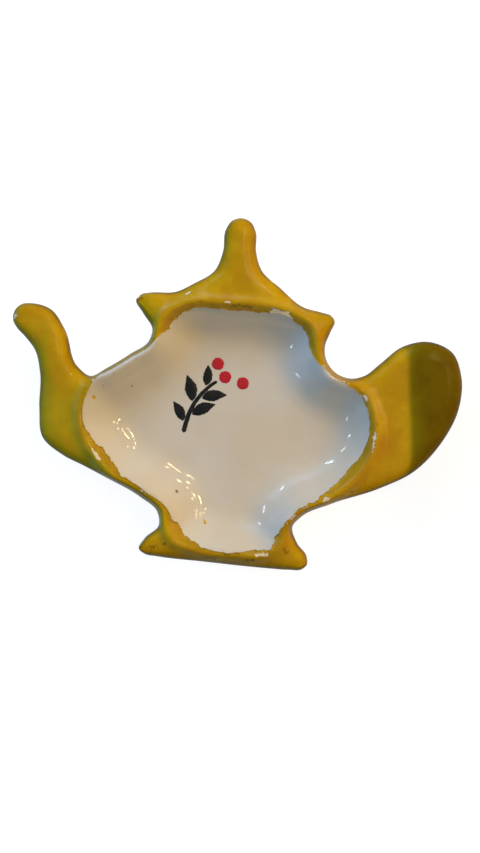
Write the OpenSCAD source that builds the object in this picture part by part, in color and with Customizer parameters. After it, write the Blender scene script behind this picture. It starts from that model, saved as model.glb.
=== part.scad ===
/* [Belly] */
// Length of the belly, from the spout root to the handle root
belly_l = 81.4; // [76:0.2:88]
// Height of the belly outline above its widest line, up to the lid seat
belly_rise = 33.8; // [31:0.2:37]
// Depth of the belly outline below its widest line, down to the foot
belly_drop = 35.3; // [32:0.2:38]
// Width of the neck under the lid brim
shoulder_w = 45.2; // [42:0.2:48]
// Width of the waist above the foot
waist_w = 34.6; // [31:0.2:38]
// Width of the lip between the crest and the belly outline
lip_w = 2.1; // [1.6:0.1:2.6]

/* [Lid] */
// Width of the lid brim over both tips
brim_w = 52.2; // [50:0.2:56]
// Height of the lid cone above its seat
lid_h = 7.2; // [5:0.2:9]
// Width of the knob
knob_w = 8.2; // [6.5:0.1:10]
// Length of the knob above the lid cone
knob_h = 13.7; // [10:0.2:17]

/* [Spout] */
// Reach of the spout beyond the belly
spout_reach = 18.0; // [15:0.2:21]
// Height of the spout above the widest line
spout_rise = 28.0; // [25:0.2:31]
// Width of the spout at its mouth
mouth_w = 7.5; // [6:0.1:9]
// Depth of the spout root below the widest line
spout_drop = 13.5; // [11:0.2:14.5]

/* [Handle] */
// Reach of the handle beyond the belly
handle_reach = 20.0; // [16:0.2:23]
// Height of the handle above the widest line
handle_rise = 26.0; // [23:0.2:29]
// Depth of the handle root below the widest line
handle_drop = 13.5; // [11:0.2:15]

/* [Foot] */
// Width of the foot over both toes
foot_w = 44.0; // [40:0.2:48]
// Height of the foot from the waist to its sole
foot_h = 10.4; // [8.5:0.2:12]

/* [Heights] */
// Height of the crest of the lip
crest_z = 14.2; // [13.4:0.1:16]
// Height of the flat land of the spout, handle, lid and foot
land_z = 12.6; // [11:0.1:13.2]
// Height of the widest line of the rolled edge
edge_z = 9.2; // [8:0.1:10.4]
// Height of the underside of the spout, handle, lid and foot
under_z = 5.8; // [4.6:0.1:7.4]
// Height of the floor of the well
floor_z = 4.6; // [3.8:0.1:5.6]
// Depth of the recess inside the standing ring
recess_h = 0.8; // [0.4:0.1:1.4]

/* [Edges] */
// Width over which the upper edge is rolled
roll_w = 3.3; // [2.2:0.1:4]
// Width over which the lower edge is rolled
under_roll_w = 2.4; // [1.4:0.1:3]
// Width over which the lip falls to the land
ridge_w = 2.8; // [1.8:0.1:3.6]
// Width of the standing ring
ring_w = 3.0; // [2:0.1:4.5]

/* [Coats] */
// Thickness of the white glaze
glaze_t = 0.35; // [0.25:0.05:0.6]
// Thickness of the yellow paint over the glaze
paint_t = 0.2; // [0.15:0.05:0.35]

/* [Sprig] */
// How far the painted sprig runs across, as a share of the width of the neck
run_share = 0.3; // [0.25:0.005:0.33]
// How far the painted sprig climbs, as a share of the rise of the belly outline
climb_share = 0.51; // [0.42:0.005:0.54]
// Width of its stem stroke as a share of the sprig
stem_share = 0.06; // [0.04:0.005:0.08]
// Length of a leaf stroke as a share of the sprig
leaf_share = 0.33; // [0.22:0.01:0.38]
// Width of a leaf stroke as a share of its length
slim_share = 0.45; // [0.3:0.01:0.5]
// Diameter of a berry as a share of the sprig
berry_share = 0.15; // [0.1:0.005:0.16]
// Thickness of the painted strokes
stroke_t = 0.15; // [0.1:0.05:0.3]

/* [Hidden] */

half_l = belly_l / 2;
half_s = shoulder_w / 2;
sprig_run = [run_share * shoulder_w, climb_share * belly_rise];
sprig_l = norm(sprig_run);
stem_w = stem_share * sprig_l;
leaf_l = leaf_share * sprig_l;
leaf_w = slim_share * leaf_l;
berry_d = berry_share * sprig_l;
half_w = waist_w / 2;
half_b = brim_w / 2;
half_f = foot_w / 2;
half_k = knob_w / 2;

// Longest straight side along the outline, and the most that the outline turns along it
facet = 6;
facet_turn = 30;
// Share of the way to the nearest far side that a rolled edge may take
roll_share = 0.80;
// How fast the rolled width may change along the outline
roll_slope_share = 0.3;
// Shares of a narrow lip that its ridge and its rolled edge may take
ridge_share = 0.42;
edge_share = 0.5;
// The floor and the standing ring as shares of the crest outline about the middle
floor_share = 0.62;
stand_share = 0.64;
bulge_share = 0.87;
// Power of the curve from the floor to the crest
wall_power = 2.3;

// Outline of the belly, anticlockwise from its right end, about the middle of its widest line
belly = [
    [half_l, 0], [0.967 * half_l, 0.206 * belly_rise], [0.912 * half_l, 0.342 * belly_rise],
    [0.780 * half_l, 0.437 * belly_rise], [0.662 * half_l, 0.478 * belly_rise],
    [1.075 * half_s, 0.580 * belly_rise], [1.056 * half_s, 0.680 * belly_rise],
    [0.945 * half_s, 0.856 * belly_rise], [0.610 * half_s, 0.971 * belly_rise],
    [-0.095 * half_s, belly_rise], [-0.668 * half_s, 0.959 * belly_rise],
    [-0.905 * half_s, 0.835 * belly_rise], [-0.963 * half_s, 0.702 * belly_rise],
    [-0.995 * half_s, 0.605 * belly_rise], [-0.665 * half_l, 0.496 * belly_rise],
    [-0.812 * half_l, 0.369 * belly_rise], [-0.917 * half_l, 0.298 * belly_rise],
    [-0.981 * half_l, 0.165 * belly_rise], [-half_l, 0], [-0.963 * half_l, -0.158 * belly_drop],
    [-0.873 * half_l, -0.322 * belly_drop], [-0.763 * half_l, -0.456 * belly_drop],
    [-0.530 * half_l, -0.582 * belly_drop], [-0.965 * half_w, -0.685 * belly_drop],
    [-0.925 * half_w, -0.783 * belly_drop], [-0.790 * half_w, -0.907 * belly_drop],
    [-0.410 * half_w, -0.980 * belly_drop], [0.220 * half_w, -belly_drop],
    [0.765 * half_w, -0.975 * belly_drop], [1.020 * half_w, -0.873 * belly_drop],
    [1.100 * half_w, -0.712 * belly_drop], [1.211 * half_w, -0.642 * belly_drop],
    [0.706 * half_l, -0.523 * belly_drop], [0.868 * half_l, -0.369 * belly_drop],
    [0.966 * half_l, -0.192 * belly_drop]
];

// The third value of each point below is the place on the belly outline that it faces, in rows of belly

// Points on a round end, whose facing places run from one row to another
function round_end(at, r, angles, first, last) = [for (k = [0:len(angles) - 1])
    [at.x + r * cos(angles[k]), at.y + r * sin(angles[k]), first + (last - first) * k / (len(angles) - 1)]];

// Lid, from the right neck over the knob to the left neck
knob_x = -0.15 * half_k;
knob_base = belly_rise + lid_h;
knob_r = 0.95 * half_k;
lid_right = [
    [0.955 * half_b, 0.785 * belly_rise, 6.72], [0.989 * half_b, 0.880 * belly_rise, 6.94],
    [0.951 * half_b, 0.914 * belly_rise, 7.00], [0.862 * half_b, 0.932 * belly_rise, 7.16],
    [0.668 * half_b, 0.963 * belly_rise, 7.60], [0.418 * half_b, belly_rise + 0.46 * lid_h, 8.30],
    [knob_x + 1.48 * half_k, belly_rise + 1.09 * lid_h, 8.66],
    [knob_x + 1.06 * half_k, knob_base + 0.39 * knob_h, 8.80]
];
lid_left = [
    [knob_x - 1.01 * half_k, knob_base + 0.35 * knob_h, 8.98],
    [knob_x - 1.44 * half_k, belly_rise + 0.93 * lid_h, 9.12],
    [-0.450 * half_b, belly_rise + 0.39 * lid_h, 9.55], [-0.620 * half_b, belly_rise + 0.04 * lid_h, 10.18],
    [-0.900 * half_b, 0.982 * belly_rise, 10.55], [-0.975 * half_b, 0.966 * belly_rise, 10.64],
    [-1.019 * half_b, 0.925 * belly_rise, 10.70], [-0.940 * half_b, 0.824 * belly_rise, 10.90]
];
knob_end = round_end([knob_x, knob_base + knob_h - knob_r], knob_r, [12, 50, 90, 130, 168], 8.83, 8.95);
lid = concat(lid_right, knob_end, lid_left);

// Spout, from the crotch over its round mouth and down its outer side
spout_x = -half_l - spout_reach;
mouth_r = mouth_w / 2;
spout_inner = [
    [spout_x + 0.99 * spout_reach, 0.44 * spout_rise, 16.40],
    [spout_x + 0.76 * spout_reach, 0.78 * spout_rise, 16.60],
    [spout_x + 0.53 * spout_reach, 0.96 * spout_rise, 16.80]
];
mouth = round_end([spout_x + mouth_r, spout_rise - mouth_r], mouth_r, [85, 112, 140, 168, 196, 225], 17.0, 17.4);
spout_outer = [
    [spout_x + 0.195 * spout_reach, 0.690 * spout_rise, 17.60],
    [spout_x + 0.355 * spout_reach, 0.572 * spout_rise, 17.75],
    [spout_x + 0.46 * spout_reach, 0.355 * spout_rise, 17.90],
    [spout_x + 0.49 * spout_reach, 0.02 * spout_rise, 18.10],
    [spout_x + 0.57 * spout_reach, -0.51 * spout_drop, 18.60],
    [spout_x + 0.88 * spout_reach, -0.82 * spout_drop, 19.20],
    [-0.910 * half_l, -spout_drop, 19.95]
];
spout = concat(spout_inner, mouth, spout_outer);

// Foot, from the left waist round both toes to the right waist
waist_y = -0.745 * belly_drop;
foot = [
    [-0.890 * half_f, waist_y - 0.51 * foot_h, 24.60], [-0.945 * half_f, waist_y - 0.76 * foot_h, 24.70],
    [-0.870 * half_f, waist_y - 0.88 * foot_h, 24.82], [-0.735 * half_f, waist_y - 0.914 * foot_h, 25.05],
    [-0.190 * half_f, waist_y - 0.955 * foot_h, 26.25], [0.625 * half_f, waist_y - foot_h, 28.00],
    [0.855 * half_f, waist_y - 0.997 * foot_h, 28.36], [1.023 * half_f, waist_y - 0.952 * foot_h, 28.66],
    [1.073 * half_f, waist_y - 0.837 * foot_h, 28.70], [1.061 * half_f, waist_y - 0.635 * foot_h, 28.74],
    [0.935 * half_f, waist_y - 0.32 * foot_h, 28.81]
];

// Handle, from its lower root round its end to its upper root
handle = [
    [half_l + 0.01 * handle_reach, -handle_drop, 33.40],
    [half_l + 0.46 * handle_reach, -0.61 * handle_drop, 34.20],
    [half_l + 0.79 * handle_reach, -0.01 * handle_drop, 34.90],
    [half_l + 0.98 * handle_reach, 0.345 * handle_rise, 35.50],
    [half_l + 0.985 * handle_reach, 0.67 * handle_rise, 36.10],
    [half_l + 0.84 * handle_reach, 0.912 * handle_rise, 36.50],
    [half_l + 0.535 * handle_reach, handle_rise, 36.75],
    [half_l + 0.19 * handle_reach, 0.932 * handle_rise, 36.95],
    [half_l - 0.09 * handle_reach, 0.74 * handle_rise, 37.15],
    [half_l - 0.285 * handle_reach, 0.606 * handle_rise, 37.45]
];

// Points of the belly outline from one row to another, each facing itself
function side(first, last) = [for (k = [first:last]) [belly[k].x, belly[k].y, k]];

// The whole outline, anticlockwise from the saddle between the handle and the neck
right_side = side(3, 6);
left_side = side(12, 16);
outline = concat(right_side, lid, left_side, spout, side(21, 24), foot, side(30, 32), handle);

// Smooth closed curve through points: its slope at a point follows both neighbours by their distance
function ahead(points, i) = points[(i + 1) % len(points)] - points[i];
function slope_at(points, i) =
    let (a = ahead(points, (i + len(points) - 1) % len(points)), b = ahead(points, i))
    let (da = norm(a), db = norm(b))
    (a * db / da + b * da / db) / (da + db);
function on_curve(points, slopes, u) =
    let (i = floor(u) % len(points), j = (i + 1) % len(points), t = u - floor(u), h = norm(ahead(points, i)))
    points[i] * (2 * t ^ 3 - 3 * t ^ 2 + 1) + slopes[i] * h * (t ^ 3 - 2 * t ^ 2 + t)
    + points[j] * (3 * t ^ 2 - 2 * t ^ 3) + slopes[j] * h * (t ^ 3 - t ^ 2);
function out_of_curve(points, slopes, u) =
    let (i = floor(u) % len(points), j = (i + 1) % len(points), t = u - floor(u), h = norm(ahead(points, i)),
        s = (points[j] - points[i]) * (6 * t - 6 * t ^ 2) + slopes[i] * h * (3 * t ^ 2 - 4 * t + 1)
            + slopes[j] * h * (3 * t ^ 2 - 2 * t))
    [s.y, -s.x] / norm(s);

// Where the outline is sampled, so that no side is longer than a facet
rim_points = [for (p = outline) [p.x, p.y]];
rim_slopes = [for (k = [0:len(outline) - 1]) slope_at(rim_points, k)];
belly_slopes = [for (k = [0:len(belly) - 1]) slope_at(belly, k)];
function turn(k) = let (a = rim_slopes[k], b = rim_slopes[(k + 1) % len(outline)])
    acos(min(1, a * b / norm(a) / norm(b)));
function steps(k) = ceil(max(norm(ahead(rim_points, k)) / facet, turn(k) / facet_turn));
samples = [for (k = [0:len(outline) - 1]) for (s = [0:steps(k) - 1]) k + s / steps(k)];
count = len(samples);
all = [0:count - 1];

// The place on the belly outline that each sample faces
function faced_row(u) =
    let (i = floor(u), a = outline[i].z)
    let (b = i + 1 < len(outline) ? outline[i + 1].z : outline[0].z + len(belly))
    a + (b - a) * (u - i);
rows = [for (u = samples) faced_row(u)];

// Outer edge and crest of the lip at each sample, each with its outward direction
edge = [for (u = samples) on_curve(rim_points, rim_slopes, u)];
edge_out = [for (u = samples) out_of_curve(rim_points, rim_slopes, u)];
crest_out = [for (r = rows) out_of_curve(belly, belly_slopes, r)];
crest = [for (i = all) on_curve(belly, belly_slopes, rows[i]) - crest_out[i] * lip_w];
gap = [for (p = edge) min([for (q = crest) norm(p - q)])];
crest_gap = [for (q = crest) min([for (p = edge) norm(p - q)])];

// Radius of the largest circle that touches the edge at a sample from inside
function touching(i, j) = let (d = edge[j] - edge[i], depth = -d * edge_out[i])
    i != j && depth > 0.02 * norm(d) ? d * d / (2 * depth) : belly_l;
room = [for (i = all) min([for (j = all) touching(i, j)])];
room_near = [for (i = all)
    min([for (j = all) roll_share * room[j] + roll_slope_share * norm(edge[j] - edge[i])])];

// Height of the top at its distances from the crest and from the edge
roll = [for (i = all) min(roll_w, room_near[i], gap[i])];
ridge = [for (i = all) min(ridge_w, crest_gap[i])];
function top_height(i, from_crest, from_edge) =
    edge_z + (land_z - edge_z) * sqrt(1 - (1 - min(1, from_edge / roll[i])) ^ 2)
    + (crest_z - land_z) * (1 + cos(180 * min(1, from_crest / ridge[i]))) / 2;

// A ring has one point for each sample, and lift moves it along its own direction
function ring(places, heights, outward, out_share, up_share, lift) = [for (i = all)
    let (p = places[i] + outward[i] * out_share * lift)
    [p.x, p.y, heights[i] + up_share * lift]];

// Ring of the well at a share of the way from its floor to the crest
wall_run = (1 - floor_share) * half_l;
wall_rise = crest_z - floor_z;
function wall_ring(w, lift) =
    let (slope = w < 1 ? wall_power * w ^ (wall_power - 1) * wall_rise / wall_run : 0, n = norm([1, slope]))
    ring([for (q = crest) q * (floor_share + (1 - floor_share) * w)],
        [for (i = all) floor_z + wall_rise * w ^ wall_power], crest_out, -slope / n, 1 / n, lift);

// Ring on the outer slope of the ridge at a share of its width
function ridge_ring(s, lift) =
    let (d = [for (i = all) s * min(ridge_w, ridge_share * crest_gap[i])])
    ring([for (i = all) crest[i] + crest_out[i] * d[i]],
        [for (i = all) top_height(i, d[i], crest_gap[i] - d[i])],
        crest_out, sin(45) * sin(180 * s), 1 - (1 - cos(45)) * sin(180 * s), lift);

// Ring on the rolled edge at an angle, from 90 at the land to 0 at the widest line
function roll_ring(angle, lift) =
    let (d = [for (i = all) (1 - cos(angle)) * min(roll_w, room_near[i], edge_share * gap[i])])
    ring([for (i = all) edge[i] - edge_out[i] * d[i]], [for (i = all) top_height(i, gap[i] - d[i], d[i])],
        edge_out, cos(angle), sin(angle), lift);

// Ring on the lower roll at an angle, from 0 at the widest line to 90 at the underside
function under_ring(angle, lift) =
    let (d = [for (i = all) (1 - cos(angle)) * min(under_roll_w, room_near[i], edge_share * gap[i])])
    ring([for (i = all) edge[i] - edge_out[i] * d[i]],
        [for (i = all) edge_z - (edge_z - under_z) * sin(angle)],
        edge_out, cos(angle), -sin(angle), lift);

// Ring of the base at a share of the crest outline and at a height
function base_ring(s, z) = [for (q = crest) [q.x * s, q.y * s, z]];

// Rings from the floor of the well to the crest and the land, over the edge and under it
function well_rings(lift) = [for (w = [0, 0.3, 0.55, 0.8, 1]) wall_ring(w, lift)];
function ridge_rings(lift) = [for (s = [0.5, 1]) ridge_ring(s, lift)];
function edge_rings(lift) = [for (a = [90, 60, 30, 0]) roll_ring(a, lift)];
function under_rings(lift) = [for (a = [45, 90]) under_ring(a, lift)];
function all_rings(lift) = concat(well_rings(lift), ridge_rings(lift), edge_rings(lift), under_rings(lift));
function reversed(list) = [for (k = [len(list) - 1:-1:0]) list[k]];

// Samples on the two sides of the spout between which its land is spanned, up to its mouth
function first_sample(k) = min([for (i = all) if (samples[i] >= k) i]);
spout_row = len(right_side) + len(lid) + len(left_side);
mouth_row = spout_row + len(spout_inner) + 1.5;
spout_from = first_sample(spout_row);
spout_tip = first_sample(mouth_row);
spout_to = 2 * spout_tip - spout_from;
spout_mid = floor((spout_from + spout_to) / 2);

// Samples at which the land is cut along the other diagonal, because the edge runs back there
function next(i) = (i + 1) % count;
land_in = ridge_ring(1, 0);
land_out = roll_ring(90, 0);
function cross_of(a, b, c) = (b.x - a.x) * (c.y - a.y) - (b.y - a.y) * (c.x - a.x);
runs_back = [for (i = all) cross_of(land_in[i], land_out[i], land_out[next(i)]) < 0];

// Triangles between two rings that start at these points, seen anticlockwise from outside
function quad(a, b, i) = [[a + i, b + i, b + next(i)], [a + i, b + next(i), a + next(i)]];
function land_quad(a, b, i) = runs_back[i]
    ? [[a + i, b + i, a + next(i)], [a + next(i), b + i, b + next(i)]] : quad(a, b, i);
function band(a, b) = [for (i = all) each quad(a, b, i)];
function land(inner, outer) = concat(
    [for (i = all) if (i < spout_from || i >= spout_to) each land_quad(inner, outer, i)],
    [for (i = [spout_from:spout_to - 1])
        [inner + i, outer + (i < spout_mid ? spout_from : spout_to), inner + i + 1]],
    [[inner + spout_mid, outer + spout_from, outer + spout_to]],
    [for (k = [0:spout_tip - spout_from - 1])
        let (a = outer + spout_from + k, b = outer + spout_to - k) each [
        [a, a + 1, b],
        if (a + 1 < b - 1) [a + 1, b - 1, b]]]
);
function flipped(faces) = [for (f = faces) [f[2], f[1], f[0]]];
function fan(a, middle) = [for (i = all) [middle, a + i, a + next(i)]];

// Triangles along a list of rings, where the land lies after one ring outward and after another inward
function skin(rings, land_out, land_in) = [for (r = [0:rings - 2]) let (a = r * count, b = a + count)
    each r == land_out ? land(a, b) : r == land_in ? flipped(land(b, a)) : band(a, b)];

// The finished outline is centred on the origin
painted = [for (i = all) edge[i] + edge_out[i] * paint_t];
middle_x = (max([for (p = painted) p.x]) + min([for (p = painted) p.x])) / 2;
middle_y = (max([for (p = painted) p.y]) + min([for (p = painted) p.y])) / 2;
module centred() translate([-middle_x, -middle_y, 0]) children();

// Closed solid from a list of rings whose first and last ring are each closed to a middle point
module capped_solid(rings, land_out, land_in, first_z, last_z) {
    end = len(rings) * count;
    polyhedron(
        points = concat([for (r = rings) each r], [[0, 0, first_z], [0, 0, last_z]]),
        faces = flipped(concat(skin(len(rings), land_out, land_in), fan(0, end),
            flipped(fan(end - count, end + 1)))));
}

module clay_body() {
    outer = all_rings(-glaze_t);
    inner_share = stand_share - ring_w / half_l;
    base = [
        base_ring(1, under_z), base_ring(bulge_share, 0.42 * under_z), base_ring(stand_share, 0),
        base_ring(inner_share, 0), base_ring(inner_share, recess_h)];
    color("BlanchedAlmond") centred()
        capped_solid(concat(outer, base), 6, len(outer) - 1, floor_z - glaze_t, recess_h);
}

module white_glaze() {
    outer = all_rings(0);
    inner = reversed(all_rings(-glaze_t));
    color("Ivory") centred()
        capped_solid(concat(outer, inner), 6, 2 * len(outer) - 8, floor_z, floor_z - glaze_t);
}

module rim_paint() {
    function painted_rings(lift) = concat(ridge_rings(lift), edge_rings(lift), [under_ring(45, lift)]);
    rings = concat(painted_rings(paint_t), reversed(painted_rings(0)));
    last = (len(rings) - 1) * count;
    color("DarkGoldenrod") centred() polyhedron(
        points = [for (r = rings) each r],
        faces = flipped(concat(skin(len(rings), 1, len(rings) - 3), band(last, 0))));
}

// Sprig on the floor of the well: a bowed stem with leaves on both sides and berries at its tip
sprig_at = [-0.12 * half_l, 0.17 * belly_rise];
sprig_turn = atan2(sprig_run.y, sprig_run.x);
bow_share = 0.16;
function stem_point(s) = [sprig_l * (s - 0.5), bow_share * sprig_l * 4 * s * (1 - s)];
function stem_angle(s) = atan2(bow_share * 4 * (1 - 2 * s), 1);
function across(a) = [-sin(a), cos(a)];
module on_floor() centred() translate([sprig_at.x, sprig_at.y, floor_z]) rotate(sprig_turn)
    linear_extrude(height = stroke_t) children();

module sprig_stem() color("#26201e") on_floor() {
    left = [for (k = [0:12]) let (s = 0.74 * k / 12, a = stem_angle(s), w = stem_w * (1 - 0.45 * s) / 2)
        stem_point(s) + w * across(a)];
    right = [for (k = [12:-1:0]) let (s = 0.74 * k / 12, a = stem_angle(s), w = stem_w * (1 - 0.45 * s) / 2)
        stem_point(s) - w * across(a)];
    polygon(concat(left, right));
}

// A leaf stroke from its heel at the origin along +X: two arcs that meet in points
module leaf(l, w) polygon([for (k = [0:11]) let (s = k / 12) [l * s, w * sin(180 * s ^ 0.8) / 2],
    for (k = [12:-1:1]) let (s = k / 12) [l * s, -w * sin(180 * s ^ 0.8) / 2]]);

leaf_shares = [[0.12, 1, 0.82], [0.22, -1, 0.96], [0.36, 1, 1.0], [0.46, -1, 0.94], [0.60, 1, 0.78]];
leaf_lean = 44;
module sprig_leaves() color("#2b2623") on_floor() for (row = leaf_shares)
    translate(stem_point(row[0]) + row[1] * (stem_w / 2 + stroke_t) * across(stem_angle(row[0])))
        rotate(stem_angle(row[0]) + row[1] * leaf_lean) leaf(leaf_l * row[2], leaf_w * row[2]);

berry_shares = [[0.84, 0.0], [0.90, 1.35], [0.93, -1.10]];
module sprig_berries() color("#a8202c") on_floor() for (row = berry_shares)
    translate(stem_point(row[0]) + [0, row[1] * berry_d]) circle(d = berry_d, $fn = 32);

clay_body();
white_glaze();
rim_paint();
sprig_stem();
sprig_leaves();
sprig_berries();
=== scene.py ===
"""A glazed earthenware tea bag rest in the outline of a teapot, lying flat with its well up.

The rest is one clay casting in two coats: a cream glaze over the top and round the edge, and a mustard
enamel brushed over the glaze outside the well. A small sprig is painted on the floor of the well.
Lengths in the tables are millimetres about the middle of the widest line of the belly.
"""

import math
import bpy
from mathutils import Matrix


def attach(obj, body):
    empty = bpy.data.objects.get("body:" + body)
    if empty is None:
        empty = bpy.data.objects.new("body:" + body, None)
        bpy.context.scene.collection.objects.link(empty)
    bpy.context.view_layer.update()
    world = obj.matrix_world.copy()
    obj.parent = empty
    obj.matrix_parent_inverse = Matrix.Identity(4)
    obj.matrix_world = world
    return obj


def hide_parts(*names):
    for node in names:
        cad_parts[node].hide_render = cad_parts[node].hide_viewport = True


bl_info = {
    "name": "Tea bag rest",
    "version": (1, 0, 0),
    "blender": (4, 5, 0),
    "location": "3D View > Sidebar > Tea bag rest",
    "description": "Dresses a teapot-shaped tea bag rest in glaze, enamel and a painted sprig",
    "category": "Add Mesh",
}

import bmesh
import bpy
import numpy as np
from mathutils import Quaternion, Vector, geometry

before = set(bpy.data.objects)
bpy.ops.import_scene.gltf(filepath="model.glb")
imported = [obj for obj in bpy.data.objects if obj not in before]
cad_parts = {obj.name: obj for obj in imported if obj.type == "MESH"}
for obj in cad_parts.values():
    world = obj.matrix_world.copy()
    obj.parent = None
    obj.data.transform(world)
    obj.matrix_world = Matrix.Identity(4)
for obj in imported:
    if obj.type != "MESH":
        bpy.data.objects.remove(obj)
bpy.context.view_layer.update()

MM = 0.001

# Driving sizes of the casting in mm, as the solids have them
BELLY_L, BELLY_RISE, BELLY_DROP = 81.4, 33.8, 35.3
SHOULDER_W, WAIST_W, LIP_W = 45.2, 34.6, 2.1
BRIM_W, LID_H, KNOB_W, KNOB_H = 52.2, 7.2, 8.2, 13.7
SPOUT_REACH, SPOUT_RISE, MOUTH_W, SPOUT_DROP = 18.0, 28.0, 7.5, 13.5
HANDLE_REACH, HANDLE_RISE, HANDLE_DROP = 20.0, 26.0, 13.5
FOOT_W, FOOT_H = 44.0, 10.4
CREST_Z, LAND_Z, EDGE_Z, UNDER_Z, FLOOR_Z, RECESS_H = 14.2, 12.6, 9.2, 5.8, 4.6, 0.8
UNDER_ROLL_W = 2.4
HALF_L, HALF_S, HALF_W = BELLY_L / 2, SHOULDER_W / 2, WAIST_W / 2
HALF_B, HALF_F, HALF_K = BRIM_W / 2, FOOT_W / 2, KNOB_W / 2
WALL_POWER = 2.2
# A roll takes up to this share of the room there is, and may grow by this much for each mm along the edge
ROLL_SHARE, ROLL_SLOPE = 0.80, 0.3
# The lower roll takes up to this share of the way to the crest
UNDER_SHARE = 0.5
# A sample of the edge faces another if that lies inward by more than this share of their distance
FACING_SHARE = 0.02

# Outline of the belly, anticlockwise from its right end
BELLY = np.array([
    (HALF_L, 0), (0.967 * HALF_L, 0.206 * BELLY_RISE), (0.912 * HALF_L, 0.342 * BELLY_RISE),
    (0.780 * HALF_L, 0.437 * BELLY_RISE), (0.662 * HALF_L, 0.478 * BELLY_RISE),
    (1.075 * HALF_S, 0.580 * BELLY_RISE), (1.056 * HALF_S, 0.680 * BELLY_RISE),
    (0.945 * HALF_S, 0.856 * BELLY_RISE), (0.610 * HALF_S, 0.971 * BELLY_RISE),
    (-0.095 * HALF_S, BELLY_RISE), (-0.668 * HALF_S, 0.959 * BELLY_RISE),
    (-0.905 * HALF_S, 0.835 * BELLY_RISE), (-0.963 * HALF_S, 0.702 * BELLY_RISE),
    (-0.995 * HALF_S, 0.605 * BELLY_RISE), (-0.665 * HALF_L, 0.496 * BELLY_RISE),
    (-0.812 * HALF_L, 0.369 * BELLY_RISE), (-0.917 * HALF_L, 0.298 * BELLY_RISE),
    (-0.981 * HALF_L, 0.165 * BELLY_RISE), (-HALF_L, 0), (-0.963 * HALF_L, -0.158 * BELLY_DROP),
    (-0.873 * HALF_L, -0.322 * BELLY_DROP), (-0.763 * HALF_L, -0.456 * BELLY_DROP),
    (-0.530 * HALF_L, -0.582 * BELLY_DROP), (-0.965 * HALF_W, -0.685 * BELLY_DROP),
    (-0.925 * HALF_W, -0.783 * BELLY_DROP), (-0.790 * HALF_W, -0.907 * BELLY_DROP),
    (-0.410 * HALF_W, -0.980 * BELLY_DROP), (0.220 * HALF_W, -BELLY_DROP),
    (0.765 * HALF_W, -0.975 * BELLY_DROP), (1.020 * HALF_W, -0.873 * BELLY_DROP),
    (1.100 * HALF_W, -0.712 * BELLY_DROP), (1.211 * HALF_W, -0.642 * BELLY_DROP),
    (0.706 * HALF_L, -0.523 * BELLY_DROP), (0.868 * HALF_L, -0.369 * BELLY_DROP),
    (0.966 * HALF_L, -0.192 * BELLY_DROP),
])


def round_end(x, y, r, angles):
    """Points on a circle of radius r about (x, y) at these angles in degrees."""
    a = np.radians(angles)
    return np.column_stack([x + r * np.cos(a), y + r * np.sin(a)])


KNOB_X, KNOB_BASE, KNOB_R = -0.15 * HALF_K, BELLY_RISE + LID_H, 0.95 * HALF_K
LID = np.concatenate([[
    (0.955 * HALF_B, 0.785 * BELLY_RISE), (0.989 * HALF_B, 0.880 * BELLY_RISE),
    (0.951 * HALF_B, 0.914 * BELLY_RISE), (0.862 * HALF_B, 0.932 * BELLY_RISE),
    (0.668 * HALF_B, 0.963 * BELLY_RISE), (0.418 * HALF_B, BELLY_RISE + 0.46 * LID_H),
    (KNOB_X + 1.48 * HALF_K, BELLY_RISE + 1.09 * LID_H), (KNOB_X + 1.06 * HALF_K, KNOB_BASE + 0.39 * KNOB_H),
], round_end(KNOB_X, KNOB_BASE + KNOB_H - KNOB_R, KNOB_R, [12, 50, 90, 130, 168]), [
    (KNOB_X - 1.01 * HALF_K, KNOB_BASE + 0.35 * KNOB_H), (KNOB_X - 1.44 * HALF_K, BELLY_RISE + 0.93 * LID_H),
    (-0.450 * HALF_B, BELLY_RISE + 0.39 * LID_H), (-0.620 * HALF_B, BELLY_RISE + 0.04 * LID_H),
    (-0.900 * HALF_B, 0.982 * BELLY_RISE), (-0.975 * HALF_B, 0.966 * BELLY_RISE),
    (-1.019 * HALF_B, 0.925 * BELLY_RISE), (-0.940 * HALF_B, 0.824 * BELLY_RISE),
]])
SPOUT_X, MOUTH_R = -HALF_L - SPOUT_REACH, MOUTH_W / 2
SPOUT = np.concatenate([[
    (SPOUT_X + 0.99 * SPOUT_REACH, 0.44 * SPOUT_RISE), (SPOUT_X + 0.76 * SPOUT_REACH, 0.78 * SPOUT_RISE),
    (SPOUT_X + 0.53 * SPOUT_REACH, 0.96 * SPOUT_RISE),
], round_end(SPOUT_X + MOUTH_R, SPOUT_RISE - MOUTH_R, MOUTH_R, [85, 112, 140, 168, 196, 225]), [
    (SPOUT_X + 0.195 * SPOUT_REACH, 0.690 * SPOUT_RISE), (SPOUT_X + 0.355 * SPOUT_REACH, 0.572 * SPOUT_RISE),
    (SPOUT_X + 0.46 * SPOUT_REACH, 0.355 * SPOUT_RISE), (SPOUT_X + 0.49 * SPOUT_REACH, 0.02 * SPOUT_RISE),
    (SPOUT_X + 0.57 * SPOUT_REACH, -0.51 * SPOUT_DROP), (SPOUT_X + 0.88 * SPOUT_REACH, -0.82 * SPOUT_DROP),
    (-0.910 * HALF_L, -SPOUT_DROP),
]])
WAIST_Y = -0.745 * BELLY_DROP
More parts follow.
